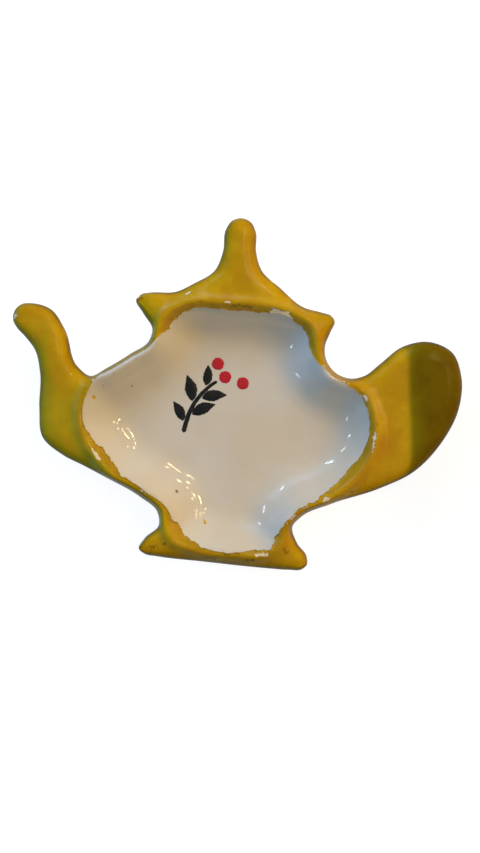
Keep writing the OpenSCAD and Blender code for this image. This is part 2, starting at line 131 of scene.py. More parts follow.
FOOT = np.array([
    (-0.890 * HALF_F, WAIST_Y - 0.51 * FOOT_H), (-0.945 * HALF_F, WAIST_Y - 0.76 * FOOT_H),
    (-0.870 * HALF_F, WAIST_Y - 0.88 * FOOT_H), (-0.735 * HALF_F, WAIST_Y - 0.914 * FOOT_H),
    (-0.190 * HALF_F, WAIST_Y - 0.955 * FOOT_H), (0.625 * HALF_F, WAIST_Y - FOOT_H),
    (0.855 * HALF_F, WAIST_Y - 0.997 * FOOT_H), (1.023 * HALF_F, WAIST_Y - 0.952 * FOOT_H),
    (1.073 * HALF_F, WAIST_Y - 0.837 * FOOT_H), (1.061 * HALF_F, WAIST_Y - 0.635 * FOOT_H),
    (0.935 * HALF_F, WAIST_Y - 0.32 * FOOT_H),
])
HANDLE = np.array([
    (HALF_L + 0.01 * HANDLE_REACH, -HANDLE_DROP), (HALF_L + 0.46 * HANDLE_REACH, -0.61 * HANDLE_DROP),
    (HALF_L + 0.79 * HANDLE_REACH, -0.01 * HANDLE_DROP), (HALF_L + 0.98 * HANDLE_REACH, 0.345 * HANDLE_RISE),
    (HALF_L + 0.985 * HANDLE_REACH, 0.67 * HANDLE_RISE), (HALF_L + 0.84 * HANDLE_REACH, 0.912 * HANDLE_RISE),
    (HALF_L + 0.535 * HANDLE_REACH, HANDLE_RISE), (HALF_L + 0.19 * HANDLE_REACH, 0.932 * HANDLE_RISE),
    (HALF_L - 0.09 * HANDLE_REACH, 0.74 * HANDLE_RISE), (HALF_L - 0.285 * HANDLE_REACH, 0.606 * HANDLE_RISE),
])
OUTLINE = np.concatenate([BELLY[3:7], LID, BELLY[12:17], SPOUT, BELLY[21:25], FOOT, BELLY[30:33], HANDLE])

# The border of the enamel: a place counted in rows of BELLY, how far inside the crest the enamel
# reaches there in mm, and how ragged it is. Below zero the ridge is bare. Between rows 12.9 and 15.4 the
# brush only touched the very edge.
ENAMEL_REACH = np.array([
    (0.3, 1.3, 0.3), (1.0, 0.9, 0.3), (1.6, 0.9, 0.5), (2.3, 0.7, 0.7), (3.0, 0.3, 0.7),
    (3.5, -0.5, 0.4), (3.9, -1.0, 0.3), (4.5, -0.7, 0.3), (5.0, 0.5, 0.3), (5.5, 1.8, 0.2),
    (6.0, 2.1, 0.3), (6.6, 1.8, 0.4), (7.1, 2.0, 0.6), (7.5, 1.5, 0.6), (8.0, 0.9, 0.5),
    (8.5, 1.7, 0.4), (9.0, 1.5, 0.3), (9.6, 1.3, 0.2), (10.0, 1.7, 0.6), (10.5, 2.4, 0.9),
    (11.2, 2.2, 0.8), (11.6, 2.0, 0.8), (12.0, 1.3, 0.6), (12.4, 0.1, 0.3), (12.9, -0.8, 0.2),
    (13.5, -1.1, 0.1), (14.2, -1.1, 0.1), (15.4, -1.2, 0.1), (15.8, -0.4, 0.1), (16.6, 0.2, 0.1),
    (17.5, 0.3, 0.1), (18.2, 0.4, 0.3), (18.8, 0.4, 0.4), (19.3, 1.1, 0.5), (20.0, 2.1, 0.6),
    (20.6, 2.2, 0.7), (21.0, 2.0, 0.9), (21.3, 0.9, 0.8), (21.6, 0.4, 0.3), (22.0, 0.0, 0.1),
    (22.5, 0.0, 0.1), (22.9, 0.4, 0.2), (23.3, 1.2, 0.4), (23.7, 2.0, 0.5), (24.2, 2.8, 0.5),
    (24.8, 3.2, 0.5), (25.2, 2.9, 0.6), (25.6, 2.2, 0.6), (26.0, 1.3, 0.7), (26.4, 0.3, 0.4),
    (26.9, -0.1, 0.2), (27.2, 0.3, 0.3), (27.6, 1.2, 0.7), (28.4, 0.5, 0.9), (28.9, 1.0, 0.6),
    (29.4, 1.7, 0.6), (29.7, 0.7, 0.7), (30.0, 0.0, 0.5), (30.5, -0.3, 0.3), (31.0, -0.1, 0.6),
    (31.5, 0.2, 0.9), (31.8, 0.8, 0.9), (32.1, 1.4, 0.8), (32.6, 2.1, 0.4), (33.2, 2.6, 0.3),
    (33.8, 2.2, 0.2), (34.5, 1.8, 0.2),
])
# Waves round the border of the enamel, and the share of its raggedness that each has. Each wave is deeper
# and shallower in turn, as many times round.
BRISTLES = ((23, 0.22), (37, 0.25), (59, 0.22), (83, 0.18), (127, 0.13), (181, 0.11), (241, 0.09))
BRISTLE_SWELLS = 7
# Least width of enamel, in mm, between its border and the outer edge
LEAST_RIM = 0.3
# A border sample is kept if it lies at least this share of its reach, less a slack in mm, from the crest
FOLD_SHARE, FOLD_SLACK = 0.9, 0.05
# Number of samples on each side over which the border is eased, and the spread of that bell curve
BORDER_REACH, BORDER_SPREAD = 9, 3

# Grid on which the relief is kept: its pitch and its margin round the outline, in mm
GRID_PITCH, GRID_MARGIN = 0.32, 2
# Depth into the well, in mm, over which the wider easing of its wall and floor comes in
WELL_EASE_FROM, WELL_EASE_TO = 1.5, 5.0
# Shares of the rolled edge over which its own roll passes into the eased relief
ROLL_EASE = 0.3, 1.0
# The hand-cast unevenness: the spread of each swell in mm and its share of the depth
CAST_SWELLS, CAST_SEED = ((3.2, 1.0), (1.1, 0.22)), 11

# Rings of the rolled edge up to its widest line, and from there inward, which both counts hold
UNDER_RINGS, TOP_RINGS = 7, 10
# How far the clay and the glaze go round under the edge, and how far the enamel does, in degrees
FULL_UNDER, ENAMEL_UNDER = 90, 45
# A mesh point keeps this share of the spacing from any loop
CLEAR_SHARE = 0.5
# The enamel's rolled rings take up to this share of the way to its border
RIM_SHARE = 0.6
# Most that a coat may be stretched upward on a steep wall
STEEP_LIMIT = 1.7
# Points nearer than this, in mm, are joined when a plan is filled with triangles
JOIN_WITHIN = 1e-7
# Points that are measured against a line at one time
BATCH = 4000


def slopes(points):
    """Slope at each point of a closed curve: both neighbours' chords, each weighted by the other's length."""
    back = points - np.roll(points, 1, 0)
    ahead = np.roll(points, -1, 0) - points
    a = np.linalg.norm(back, axis=1)[:, None]
    b = np.linalg.norm(ahead, axis=1)[:, None]
    return (back * b / a + ahead * a / b) / (a + b), b


def curve_at(points, u):
    """Closed cubic through points at u, counted in points: Hermite blend of two points and two slopes."""
    m, h = slopes(points)
    i = np.floor(u).astype(int) % len(points)
    j = (i + 1) % len(points)
    t = (u - np.floor(u))[:, None]
    place = ((2 * t - 3) * t * t + 1) * points[i] + ((t - 2) * t + 1) * t * h[i] * m[i] \
        + (3 - 2 * t) * t * t * points[j] + (t - 1) * t * t * h[i] * m[j]
    way = 6 * (t - 1) * t * points[i] + ((3 * t - 4) * t + 1) * h[i] * m[i] \
        + 6 * (1 - t) * t * points[j] + (3 * t - 2) * t * h[i] * m[j]
    outward = np.column_stack([way[:, 1], -way[:, 0]])
    return place, outward / np.linalg.norm(outward, axis=1)[:, None]


def even_steps(points, count):
    """Places along a closed curve, counted in points, that are evenly spaced by length."""
    u = np.linspace(0, len(points), 40 * len(points) + 1)
    place, _ = curve_at(points, u)
    run = np.concatenate([[0], np.cumsum(np.linalg.norm(np.diff(place, axis=0), axis=1))])
    return np.interp(np.arange(count) * run[-1] / count, run, u)


def nearest(points, line):
    """Distance from each point to a closed line of samples, and the index of the nearest sample.

    The distance is taken to the tangent through the nearest sample, no further along than half a step.
    """
    tangent = np.roll(line, -1, 0) - np.roll(line, 1, 0)
    step = np.linalg.norm(tangent, axis=1) / 2
    tangent = tangent / (2 * step[:, None])
    away = np.empty(len(points))
    which = np.empty(len(points), int)
    for first in range(0, len(points), BATCH):
        part = points[first:first + BATCH]
        squares = (part ** 2).sum(1)[:, None] + (line ** 2).sum(1)[None] - 2 * part @ line.T
        k = squares.argmin(1)
        offset = part - line[k]
        along = np.clip((offset * tangent[k]).sum(1), -step[k] / 2, step[k] / 2)
        away[first:first + BATCH] = np.linalg.norm(offset - along[:, None] * tangent[k], axis=1)
        which[first:first + BATCH] = k
    return away, which


def inside(points, line):
    """True for points inside a closed line: a ray along +X crosses it an odd number of times."""
    ahead = np.roll(line, -1, 0)
    result = np.zeros(len(points), bool)
    for first in range(0, len(points), BATCH):
        p = points[first:first + BATCH]
        spans = (line[None, :, 1] > p[:, None, 1]) != (ahead[None, :, 1] > p[:, None, 1])
        rise = np.where(line[:, 1] == ahead[:, 1], 1.0, ahead[:, 1] - line[:, 1])
        cross = line[:, 0] + (p[:, None, 1] - line[:, 1]) * (ahead[:, 0] - line[:, 0]) / rise
        result[first:first + BATCH] = (spans & (cross > p[:, None, 0])).sum(1) % 2 == 1
    return result


def blur(field, pitch, spread):
    """A grid blurred along both axes by a bell curve of that spread in mm."""
    reach = int(math.ceil(3 * spread / pitch))
    bell = np.exp(-0.5 * (np.arange(-reach, reach + 1) * pitch / spread) ** 2)
    bell /= bell.sum()
    for axis in (0, 1):
        padded = np.concatenate([field.take([0] * reach, axis), field, field.take([-1] * reach, axis)], axis)
        size = field.shape[axis]
        field = sum(w * padded.take(range(k, k + size), axis) for k, w in enumerate(bell))
    return field


def smooth_step(low, high, value):
    """0 below low, 1 above high and a cubic ease between them."""
    t = np.clip((value - low) / (high - low), 0, 1)
    return t * t * (3 - 2 * t)


class Casting:
    """The outline, crest and relief of the casting, worked out once and shared by all its coats."""

    def __init__(self, form):
        """Works out the lines and the room there is for the rolled edge.

        The room at a sample is the radius of the largest circle that touches the edge there from inside and
        meets no other sample: half the squared distance over the depth, at its least over all samples.
        """
        self.edge, self.edge_out = curve_at(OUTLINE, even_steps(OUTLINE, form.edge_samples))
        self.rows = even_steps(BELLY, form.edge_samples)
        belly, self.crest_out = curve_at(BELLY, self.rows)
        self.crest = belly - self.crest_out * LIP_W
        painted = self.edge + self.edge_out * form.enamel_t / MM
        self.middle = (painted.max(0) + painted.min(0)) / 2
        self.gap, _ = nearest(self.edge, self.crest)
        self.crest_gap, _ = nearest(self.crest, self.edge)
        apart = self.edge[None] - self.edge[:, None]
        squares = (apart ** 2).sum(2)
        depth = -(apart * self.edge_out[:, None]).sum(2)
        faces = depth > FACING_SHARE * np.sqrt(squares)
        room = np.where(faces, squares / np.where(faces, 2 * depth, 1), BELLY_L).min(1)
        near = (ROLL_SHARE * room[None] + ROLL_SLOPE * np.sqrt(squares)).min(1)
        self.roll = np.minimum(np.minimum(form.roll_w / MM, near), self.gap)
        self.under_roll = np.minimum(np.minimum(UNDER_ROLL_W, near), UNDER_SHARE * self.gap)
        self.ridge = np.minimum(form.ridge_w / MM, self.crest_gap)
        self.wall_w = form.wall_w / MM
        self.ease_relief(form)

    def raw_height(self, points):
        """Height of the top before it is eased, each point's share of the rolled edge and depth in the well.

        In the well it rises from the floor by a power of the way across the wall, which is as wide all
        round. Outside, a quarter ellipse rolls over the edge, and half a cosine wave comes down from the
        crest.
        """
        from_edge, i = nearest(points, self.edge)
        from_crest, j = nearest(points, self.crest)
        share = np.minimum(1, from_edge / self.roll[i])
        ridge = np.minimum(1, from_crest / self.ridge[j])
        land = EDGE_Z + (LAND_Z - EDGE_Z) * np.sqrt(1 - (1 - share) ** 2) \
            + (CREST_Z - LAND_Z) * (1 + np.cos(np.pi * ridge)) / 2
        way = np.maximum(0, 1 - from_crest / self.wall_w)
        well = FLOOR_Z + (CREST_Z - FLOOR_Z) * way ** WALL_POWER
        in_well = inside(points, self.crest)
        return np.where(in_well, well, land), share, np.where(in_well, from_crest, 0)

    def ease_relief(self, form):
        """Keeps a grid of the top's height, eased as a glaze coat eases it, with a hand-cast unevenness.

        The grid is blurred by a bell curve, more so deep in the well. Blurred noise of two spreads is added.
        """
        pitch = self.pitch = GRID_PITCH
        low = self.low = self.edge.min(0) - GRID_MARGIN
        high = self.edge.max(0) + GRID_MARGIN
        xs = np.arange(low[0], high[0], pitch)
        ys = np.arange(low[1], high[1], pitch)
        points = np.stack(np.meshgrid(xs, ys, indexing="ij"), 2).reshape(-1, 2)
        height, _, depth_in = self.raw_height(points)
        covered = inside(points, self.edge).reshape(len(xs), len(ys)).astype(float)
        height = height.reshape(len(xs), len(ys)) * covered
        spread = form.ease_w / MM
        self.eased = blur(height, pitch, spread) / np.maximum(1e-6, blur(covered, pitch, spread))
        softer = blur(self.eased, pitch, form.well_ease_w / MM)
        ease = smooth_step(WELL_EASE_FROM, WELL_EASE_TO, depth_in).reshape(self.eased.shape)
        self.eased = self.eased * (1 - ease) + softer * ease
        dice = np.random.default_rng(CAST_SEED)
        for swell, share in CAST_SWELLS:
            rough = blur(dice.standard_normal(self.eased.shape), pitch, swell)
            self.eased = self.eased + share * form.cast_wave / MM * rough / rough.std()
        self.steep = np.hypot(*np.gradient(self.eased, pitch))

    def read(self, field, points):
        """A kept grid at any points, blended between its four nearest values."""
        place = (points - self.low) / self.pitch
        i = np.clip(np.floor(place).astype(int), 0, np.array(field.shape) - 2)
        s, t = np.clip(place - i, 0, 1).T
        a, b = field[i[:, 0], i[:, 1]], field[i[:, 0] + 1, i[:, 1]]
        c, d = field[i[:, 0], i[:, 1] + 1], field[i[:, 0] + 1, i[:, 1] + 1]
        return (a * (1 - s) + b * s) * (1 - t) + (c * (1 - s) + d * s) * t

    def height(self, points):
        """Height of the glazed top: its own roll at the edge, passing into the eased relief inside it."""
        raw, share, _ = self.raw_height(points)
        ease = smooth_step(*ROLL_EASE, share)
        return raw * (1 - ease) + self.read(self.eased, points) * ease

    def enamel_edge(self, form):
        """The ragged line inside which the glaze is bare: the crest moved in by ENAMEL_REACH and a wander.

        Samples that a tight corner would fold back are left out, and the line is eased by a bell curve. The
        wander is a sum of waves along it, the shorter ones shallower, with turns drawn once.
        """
        reach = np.interp(self.rows, ENAMEL_REACH[:, 0], ENAMEL_REACH[:, 1], period=len(BELLY))
        line = self.crest - self.crest_out * reach[:, None]
        unfolded = nearest(line, self.crest)[0] > FOLD_SHARE * np.abs(reach) - FOLD_SLACK
        line = self.even_line(line[unfolded], len(self.rows))
        rows = self.rows[nearest(line, self.crest)[1]]
        ragged = np.interp(rows, ENAMEL_REACH[:, 0], ENAMEL_REACH[:, 2], period=len(BELLY))
        bell = np.exp(-0.5 * (np.arange(-BORDER_REACH, BORDER_REACH + 1) / BORDER_SPREAD) ** 2)
        line = sum(w * np.roll(line, k - BORDER_REACH, 0) for k, w in enumerate(bell / bell.sum()))
        way = np.roll(line, -1, 0) - np.roll(line, 1, 0)
        side = np.column_stack([way[:, 1], -way[:, 0]]) / np.linalg.norm(way, axis=1)[:, None]
        turn = 2 * np.pi * np.arange(len(line)) / len(line)
        dice = np.random.default_rng(form.brush_seed)
        wander = np.zeros(len(line))
        for waves, share in BRISTLES:
            swell = 0.6 + 0.4 * np.sin(BRISTLE_SWELLS * turn + dice.uniform(0, 6))
            depth = form.ragged_w / MM * ragged * share * swell
            wander += depth * np.sin(waves * turn + dice.uniform(0, 6))
        wander = np.minimum(wander, nearest(line, self.edge)[0] - LEAST_RIM)
        return line + side * wander[:, None]

    def even_line(self, line, count):
        """A closed line of straight pieces cut again into evenly spaced samples."""
        closed = np.concatenate([line, line[:1]])
        run = np.concatenate([[0], np.cumsum(np.linalg.norm(np.diff(closed, axis=0), axis=1))])
        at = np.arange(count) * run[-1] / count
        return np.column_stack([np.interp(at, run, closed[:, 0]), np.interp(at, run, closed[:, 1])])


def filled(plan, sizes):
    """Triangles between plan points, anticlockwise from above. Loops of these sizes come first, as edges."""
    ties, start = [], 0
    for size in sizes:
        k = np.arange(size)
        ties.append(np.column_stack([start + k, start + (k + 1) % size]))
        start += size
    points = [Vector(p) for p in plan.tolist()]
    found = geometry.delaunay_2d_cdt(points, np.concatenate(ties).tolist(), [], 1, JOIN_WITHIN)
    source = np.array([old[0] for old in found[3]])
    triangles = source[np.array(found[2])]
    a, b, c = plan[triangles[:, 0]], plan[triangles[:, 1]], plan[triangles[:, 2]]
    turned = (b[:, 0] - a[:, 0]) * (c[:, 1] - a[:, 1]) < (b[:, 1] - a[:, 1]) * (c[:, 0] - a[:, 0])
    triangles[turned] = triangles[turned][:, ::-1]
    return triangles


def lattice_in(rim, spacing, bare=None):
    """Points of a three-way lattice inside a rim, and outside a bare line, clear of both."""
    low, high = rim.min(0), rim.max(0)
    across = np.arange(low[0], high[0], spacing)
    up = np.arange(low[1], high[1], spacing * math.sqrt(3) / 2)
    lattice = np.stack(np.meshgrid(across, up, indexing="ij"), 2)
    lattice[:, 1::2, 0] += spacing / 2
    lattice = lattice.reshape(-1, 2)
    keep = inside(lattice, rim) & (nearest(lattice, rim)[0] > CLEAR_SHARE * spacing)
    if bare is not None:
        keep &= ~inside(lattice, bare) & (nearest(lattice, bare)[0] > CLEAR_SHARE * spacing)
    return lattice[keep]


def sheet_over(casting, spacing, stride, under_to, bare=None):
    """Plan points, triangles and loops of a coat over the top and round the edge.

    The rolled edge is a grid of rings: below the widest line a quarter ellipse down to an angle, above it
    rings whose depth is a share of the roll. Inside it, a three-way lattice of points is joined up by
    triangles. Returns the plan places, a function from thickness to lifted places, the triangles, the
    rings' quads and the two loops.
    """
    edge, out = casting.edge[::stride], casting.edge_out[::stride]
    roll, under = casting.roll[::stride], casting.under_roll[::stride]
    count = len(edge)
    reach = roll
    if bare is not None:
        reach = np.minimum(roll, RIM_SHARE * nearest(edge, bare)[0])
    under_angles = np.radians(np.linspace(under_to, 0, UNDER_RINGS)[:-1])
    top_shares = 1 - np.cos(np.radians(np.linspace(0, 90, TOP_RINGS)))
    places, heights, outs, ups = [], [], [], []
    for a in under_angles:
        places.append(edge - out * (under * (1 - np.cos(a)))[:, None])
        heights.append(np.full(count, EDGE_Z - (EDGE_Z - UNDER_Z) * np.sin(a)))
        outs.append(out * np.cos(a))
        ups.append(np.full(count, -np.sin(a)))
    for share in top_shares:
        depth = reach * share
        places.append(edge - out * depth[:, None])
        flat = 1 - np.minimum(1, depth / roll)
        heights.append(casting.height(places[-1]))
        outs.append(out * flat[:, None])
        ups.append(np.sqrt(1 - flat ** 2))
    rings = len(places)
    rim = places[-1]
    loops = [rim] if bare is None else [rim, bare]
    plan = np.concatenate(loops + [lattice_in(rim, spacing, bare)])
    triangles = filled(plan, [len(loop) for loop in loops])
    if bare is not None:
        on_bare = ((triangles >= count) & (triangles < count + len(bare))).all(1)
        hole = np.zeros(len(triangles), bool)
        hole[on_bare] = inside(plan[triangles[on_bare]].mean(1), bare)
        triangles = triangles[~hole]
    triangles = triangles + (rings - 1) * count
    k = np.arange(count)
    start = (np.arange(rings - 1) * count)[:, None]
    low_a, low_b = start + k, start + (k + 1) % count
    bands = np.stack([low_a, low_b, low_b + count, low_a + count], 2).reshape(-1, 4)
    inner = plan[count:]
    steep = np.minimum(STEEP_LIMIT, np.sqrt(1 + casting.read(casting.steep, inner) ** 2))
    place = np.concatenate(places + [inner])
    height = np.concatenate(heights + [casting.height(inner)])
    sideways = np.concatenate(outs + [np.zeros_like(inner)])
    upward = np.concatenate(ups + [steep])

    def lifted(lift):
        """Points of the sheet, moved along its own direction by mm, in metres about the part's middle."""
        flat = place + sideways * np.broadcast_to(lift, len(place))[:, None] - casting.middle
        return np.column_stack([flat, height + upward * lift]) * MM

    under_loop = np.arange(count)
    bare_loop = rings * count + np.arange(0 if bare is None else len(bare))
    return place, lifted, triangles, bands, under_loop, bare_loop


def closing(first, second):
    """Quads between two loops of equal length."""
    return np.column_stack([first, second, np.roll(second, -1), np.roll(first, -1)])


def new_piece(name, points, triangles, quads, material, node=None):
    """A smooth-shaded object at the origin that rides on the rest and stands for a solid."""
    mesh = bpy.data.meshes.new(name)
    mesh.from_pydata(points.tolist(), [], triangles.tolist() + quads.tolist())
    mesh.polygons.foreach_set("use_smooth", np.ones(len(mesh.polygons), bool))
    mesh.materials.append(material)
    mesh.update()
    piece = bpy.data.objects.new(name, mesh)
    bpy.context.scene.collection.objects.link(piece)
    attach(piece, "root")
    if node:
        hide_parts(node)
    return piece


def store(piece, name, values):
    """Keeps one number for each vertex under a name that a material reads."""
    layer = piece.data.attributes.new(name, "FLOAT", "POINT")
    layer.data.foreach_set("value", np.ascontiguousarray(values, dtype=np.float32))


def shell(name, casting, spacing, under_to, outer_lift, inner_lift, material, node, bare=None):
    """A closed coat: an outer sheet, the same sheet turned over below it, and strips between their loops."""
    place, lifted, triangles, bands, under_loop, bare_loop = sheet_over(casting, spacing, 1, under_to, bare)
    count = len(place)
    outer = lifted(outer_lift(place) if callable(outer_lift) else outer_lift)
    points = np.concatenate([outer, lifted(inner_lift)])
    strips = [closing(under_loop, under_loop + count)[:, ::-1]]
    if len(bare_loop):
        strips.append(closing(bare_loop, bare_loop + count))
    quads = np.concatenate([bands, bands[:, ::-1] + count] + strips)
    triangles = np.concatenate([triangles, triangles[:, ::-1] + count])
    piece = new_piece(name, points, triangles, quads, material, node)
    return piece, np.concatenate([place, place])


def spots(place, table, seed):
    """Strength 0 to 1 of listed patches: each is an ellipse (x, y, half length, half width, turn).

    It falls from 1 to 0 between a share of the ellipse and one beyond it, and slow waves fray that border.
    """
    total = np.zeros(len(place))
    dice = np.random.default_rng(seed)
    for x, y, long, wide, turn in table:
        c, s = math.cos(math.radians(turn)), math.sin(math.radians(turn))
        offset = place - (x, y)
        u = (offset[:, 0] * c + offset[:, 1] * s) / long
        v = (offset[:, 1] * c - offset[:, 0] * s) / wide
        around = np.arctan2(v, u)
        fray = 1 + sum(depth * np.sin(waves * around + dice.uniform(0, 6)) for waves, depth in PATCH_FRAY)
        total = np.maximum(total, 1 - smooth_step(PATCH_FULL, PATCH_NONE, np.hypot(u, v) * fray))
    return total


# Where a patch is whole and where it has gone, as shares of its ellipse, and the waves that fray its border
PATCH_FULL, PATCH_NONE, PATCH_FRAY = 0.6, 1.5, ((5, 0.22), (9, 0.14))

# Patches of the enamel as ellipses (x, y, half length, half width, turn in degrees)
WORN = [(11.6, 30.3, 2.8, 0.85, -12), (-26.4, 32.0, 1.2, 0.7, 35), (35.3, 10.2, 1.2, 0.45, -50),
        (38.5, -0.9, 2.7, 0.30, 88), (11.4, -33.1, 2.0, 0.40, 8), (-33.8, -10.3, 2.2, 0.42, -52),
        (27.1, -17.4, 1.1, 0.45, 25), (-57.8, 24.2, 0.8, 0.3, 75), (-2.4, 32.1, 0.8, 0.28, -10),
        (-13.0, 33.6, 0.9, 0.3, 30)]
# Dirt, and in a line along the border below the lid, painted shade
GRIMED_AND_SHADED = [(-17.2, -33.4, 1.7, 0.9, 18), (-14.2, -32.4, 0.9, 0.6, 30), (-2.0, -34.9, 2.2, 0.6, -2),
          (-25.6, 31.2, 1.1, 0.8, 20), (17.9, -31.8, 1.4, 0.8, -40), (33.7, -14.8, 0.7, 0.55, 10),
          (8.4, -34.8, 2.4, 0.6, 4), (0.6, 31.5, 3.6, 0.5, -2), (-20.4, -34.0, 0.9, 0.7, 0),
          (38.9, 3.4, 1.6, 0.4, 110), (7.0, 31.0, 1.6, 0.4, -10), (-9.5, 31.8, 1.2, 0.4, 8)]
# Patches of greenish enamel, with painted cool light from the left in them
GREENED_AND_COOL_LIT = [(-46.4, -1.0, 4.0, 8.5, 8), (-40.6, -3.4, 1.5, 6.5, 14), (-20.2, -26.2, 1.8, 3.8, -20),
           (-50.5, 6.0, 1.8, 12.0, -3), (-35.0, -11.5, 5.5, 2.2, -30), (-24.0, 28.4, 2.4, 3.2, 30)]
# Patches of orange enamel, with painted shade on the slopes beside the right ridge
ORANGED_AND_SHADED = [(41.8, -3.5, 2.4, 7.6, -8), (19.6, -32.4, 4.2, 3.0, 20), (0.2, 53.6, 2.6, 1.4, 0),
           (-54.0, 24.6, 3.2, 2.0, 20), (2.0, -34.9, 20.0, 1.9, -2), (33.5, -11.5, 5.0, 1.6, 38),
           (37.4, -2.5, 7.5, 1.1, 88), (22.6, 23.6, 4.5, 0.9, -70)]
# Splashes of enamel that fell on the glaze in the well
SPLASHED = [(-35.6, 4.6, 0.35, 0.55, 0), (-4.2, -26.0, 0.6, 0.3, -50), (-30.2, -17.3, 0.5, 0.3, 20)]
SPLASH_SEED = 3
# Distances in mm over which a mask fades: thin glaze from the crest, the brownish band from the enamel's
# border, and the band of painted shade and the dulled band from the outer edge
THIN_BAND, BORDER_BAND, EDGE_SHADE_BAND, SLOPED_BAND = (0.2, 1.2), (0.6, 2.4), (0.0, 1.2), (1.0, 3.6)
# The enamel has this share of its thickness at its border and all of it this far in, in mm, and it reaches
# this far into the glaze, in mm
COAT_EDGE_SHARE, COAT_EASE_W, ENAMEL_SUNK = 0.35, 0.35, 0.05

# The sprig: its middle, the way that it runs, its length, and its turn in degrees
SPRIG_AT = -0.12 * HALF_L, 0.17 * BELLY_RISE
SPRIG_RUN = 0.3 * SHOULDER_W, 0.51 * BELLY_RISE
SPRIG_L, SPRIG_TURN = math.hypot(*SPRIG_RUN), math.degrees(math.atan2(SPRIG_RUN[1], SPRIG_RUN[0]))
STEM_W, LEAF_L, LEAF_W, BERRY_D = 0.06 * SPRIG_L, 0.33 * SPRIG_L, 0.1485 * SPRIG_L, 0.15 * SPRIG_L
# How far the stem is bowed and where it ends, as shares of the sprig, how much of its width it loses along
# the sprig, and what share of the sprig each end is rounded over
BOW_SHARE, STEM_END, STEM_TAPER, STEM_ROUND = 0.16, 0.74, 0.45, 1 / 40
# How far a leaf is bent, as a share of its length, the angle at which it leaves the stem, in degrees, and a
# power below 1 that makes it widest nearer its heel
LEAF_BEND_SHARE, LEAF_LEAN, LEAF_POWER = 0.05, 44, 0.8
# Leaves: place along the sprig, side and size. Berries: place along it, and widths of a berry across it
LEAVES = [(0.12, 1, 0.82), (0.22, -1, 0.96), (0.36, 1, 1.0), (0.46, -1, 0.94), (0.60, 1, 0.78)]
BERRIES = [(0.84, 0.0), (0.90, 1.35), (0.93, -1.10)]
# Samples along each stroke, and the first seed of its waver
STEM_SAMPLES, LEAF_SAMPLES, BERRY_SAMPLES = 60, 48, 40
STEM_SEED, LEAF_SEED, BERRY_SEED = 1, 10, 30
# Section of a stroke in shares of its thickness: its dome, the step at its rim, how far it is sunk
DOME_SHARE, RIM_STEP_SHARE, SUNK_SHARE, STROKE_T = 0.8, 0.2, 0.3, 0.15
# Points of a stroke nearer than this, in metres, are merged
MERGE_WITHIN = 2e-6
# Points across a stroke, and its waver: waves along it and how deep each is
STROKE_POINTS, WAVER, WAVER_DEPTH = 13, (2, 5, 9), 0.035
# A stroke has its full thickness where this many times its width reaches its greatest width
FULL_WHERE = 1.6

# Base of the clay as shares of the crest outline and heights, from the underside to the recess
BASE_SHARES = [(1.0, UNDER_Z), (0.95, 4.5), (0.87, 2.44), (0.76, 1.05), (0.67, 0.10), (0.64, 0.0),
               (0.575, 0.0), (0.565, 0.05), (0.555, 0.70), (0.53, RECESS_H), (0.27, RECESS_H)]
# The clay shows only from below, so its mesh is coarser: spacing in mm, and samples of the outline to a point
CLAY_SPACING, CLAY_STRIDE = 1.6, 3


def clay_casting(casting, form, material):
    """The clay under both coats, closed below by its base.

    The base is a profile carried round the crest outline: each ring is the outline times a share, at a
    height, with the profile's corners cut twice. A flat underside joins its first ring to the rolled edge.
    """
    sheet = sheet_over(casting, CLAY_SPACING, CLAY_STRIDE, FULL_UNDER)
    place, lifted, triangles, bands, under_loop, _ = sheet
    top = lifted(-form.glaze_t / MM)
    profile = np.array(BASE_SHARES)
    for _ in range(2):
        near = 0.75 * profile[:-1] + 0.25 * profile[1:]
        far = 0.25 * profile[:-1] + 0.75 * profile[1:]
        between = np.stack([near, far], 1).reshape(-1, 2)
        profile = np.concatenate([profile[:1], between, profile[-1:]])
    outline = casting.crest[::CLAY_STRIDE]
    count, first = len(outline), len(top)
    rings = [np.column_stack([outline * share - casting.middle, np.full(count, z)]) * MM
             for share, z in profile]
    middle = np.append(-casting.middle, profile[-1, 1]) * MM
    points = np.concatenate([top] + rings + [middle[None]])
    k = np.arange(count)
    ahead = (k + 1) % count
    start = (first + np.arange(len(rings) - 1) * count)[:, None]
    base = np.stack([start + k, start + k + count, start + ahead + count, start + ahead], 2).reshape(-1, 4)
    last = first + (len(rings) - 1) * count
    fan = np.column_stack([last + k, np.full(count, len(points) - 1), last + ahead])
    under, crest = top[under_loop, :2] / MM, rings[0][:, :2] / MM
    plan = np.concatenate([under, crest])
    flat = filled(plan, [len(under), count])
    flat = flat[~inside(plan[flat].mean(1), crest)][:, ::-1]
    loop = np.concatenate([under_loop, first + k])
    triangles = np.concatenate([triangles, loop[flat], fan])
    quads = np.concatenate([bands, base])
    return new_piece("clay_casting", points, triangles, quads, material, "clay_body")


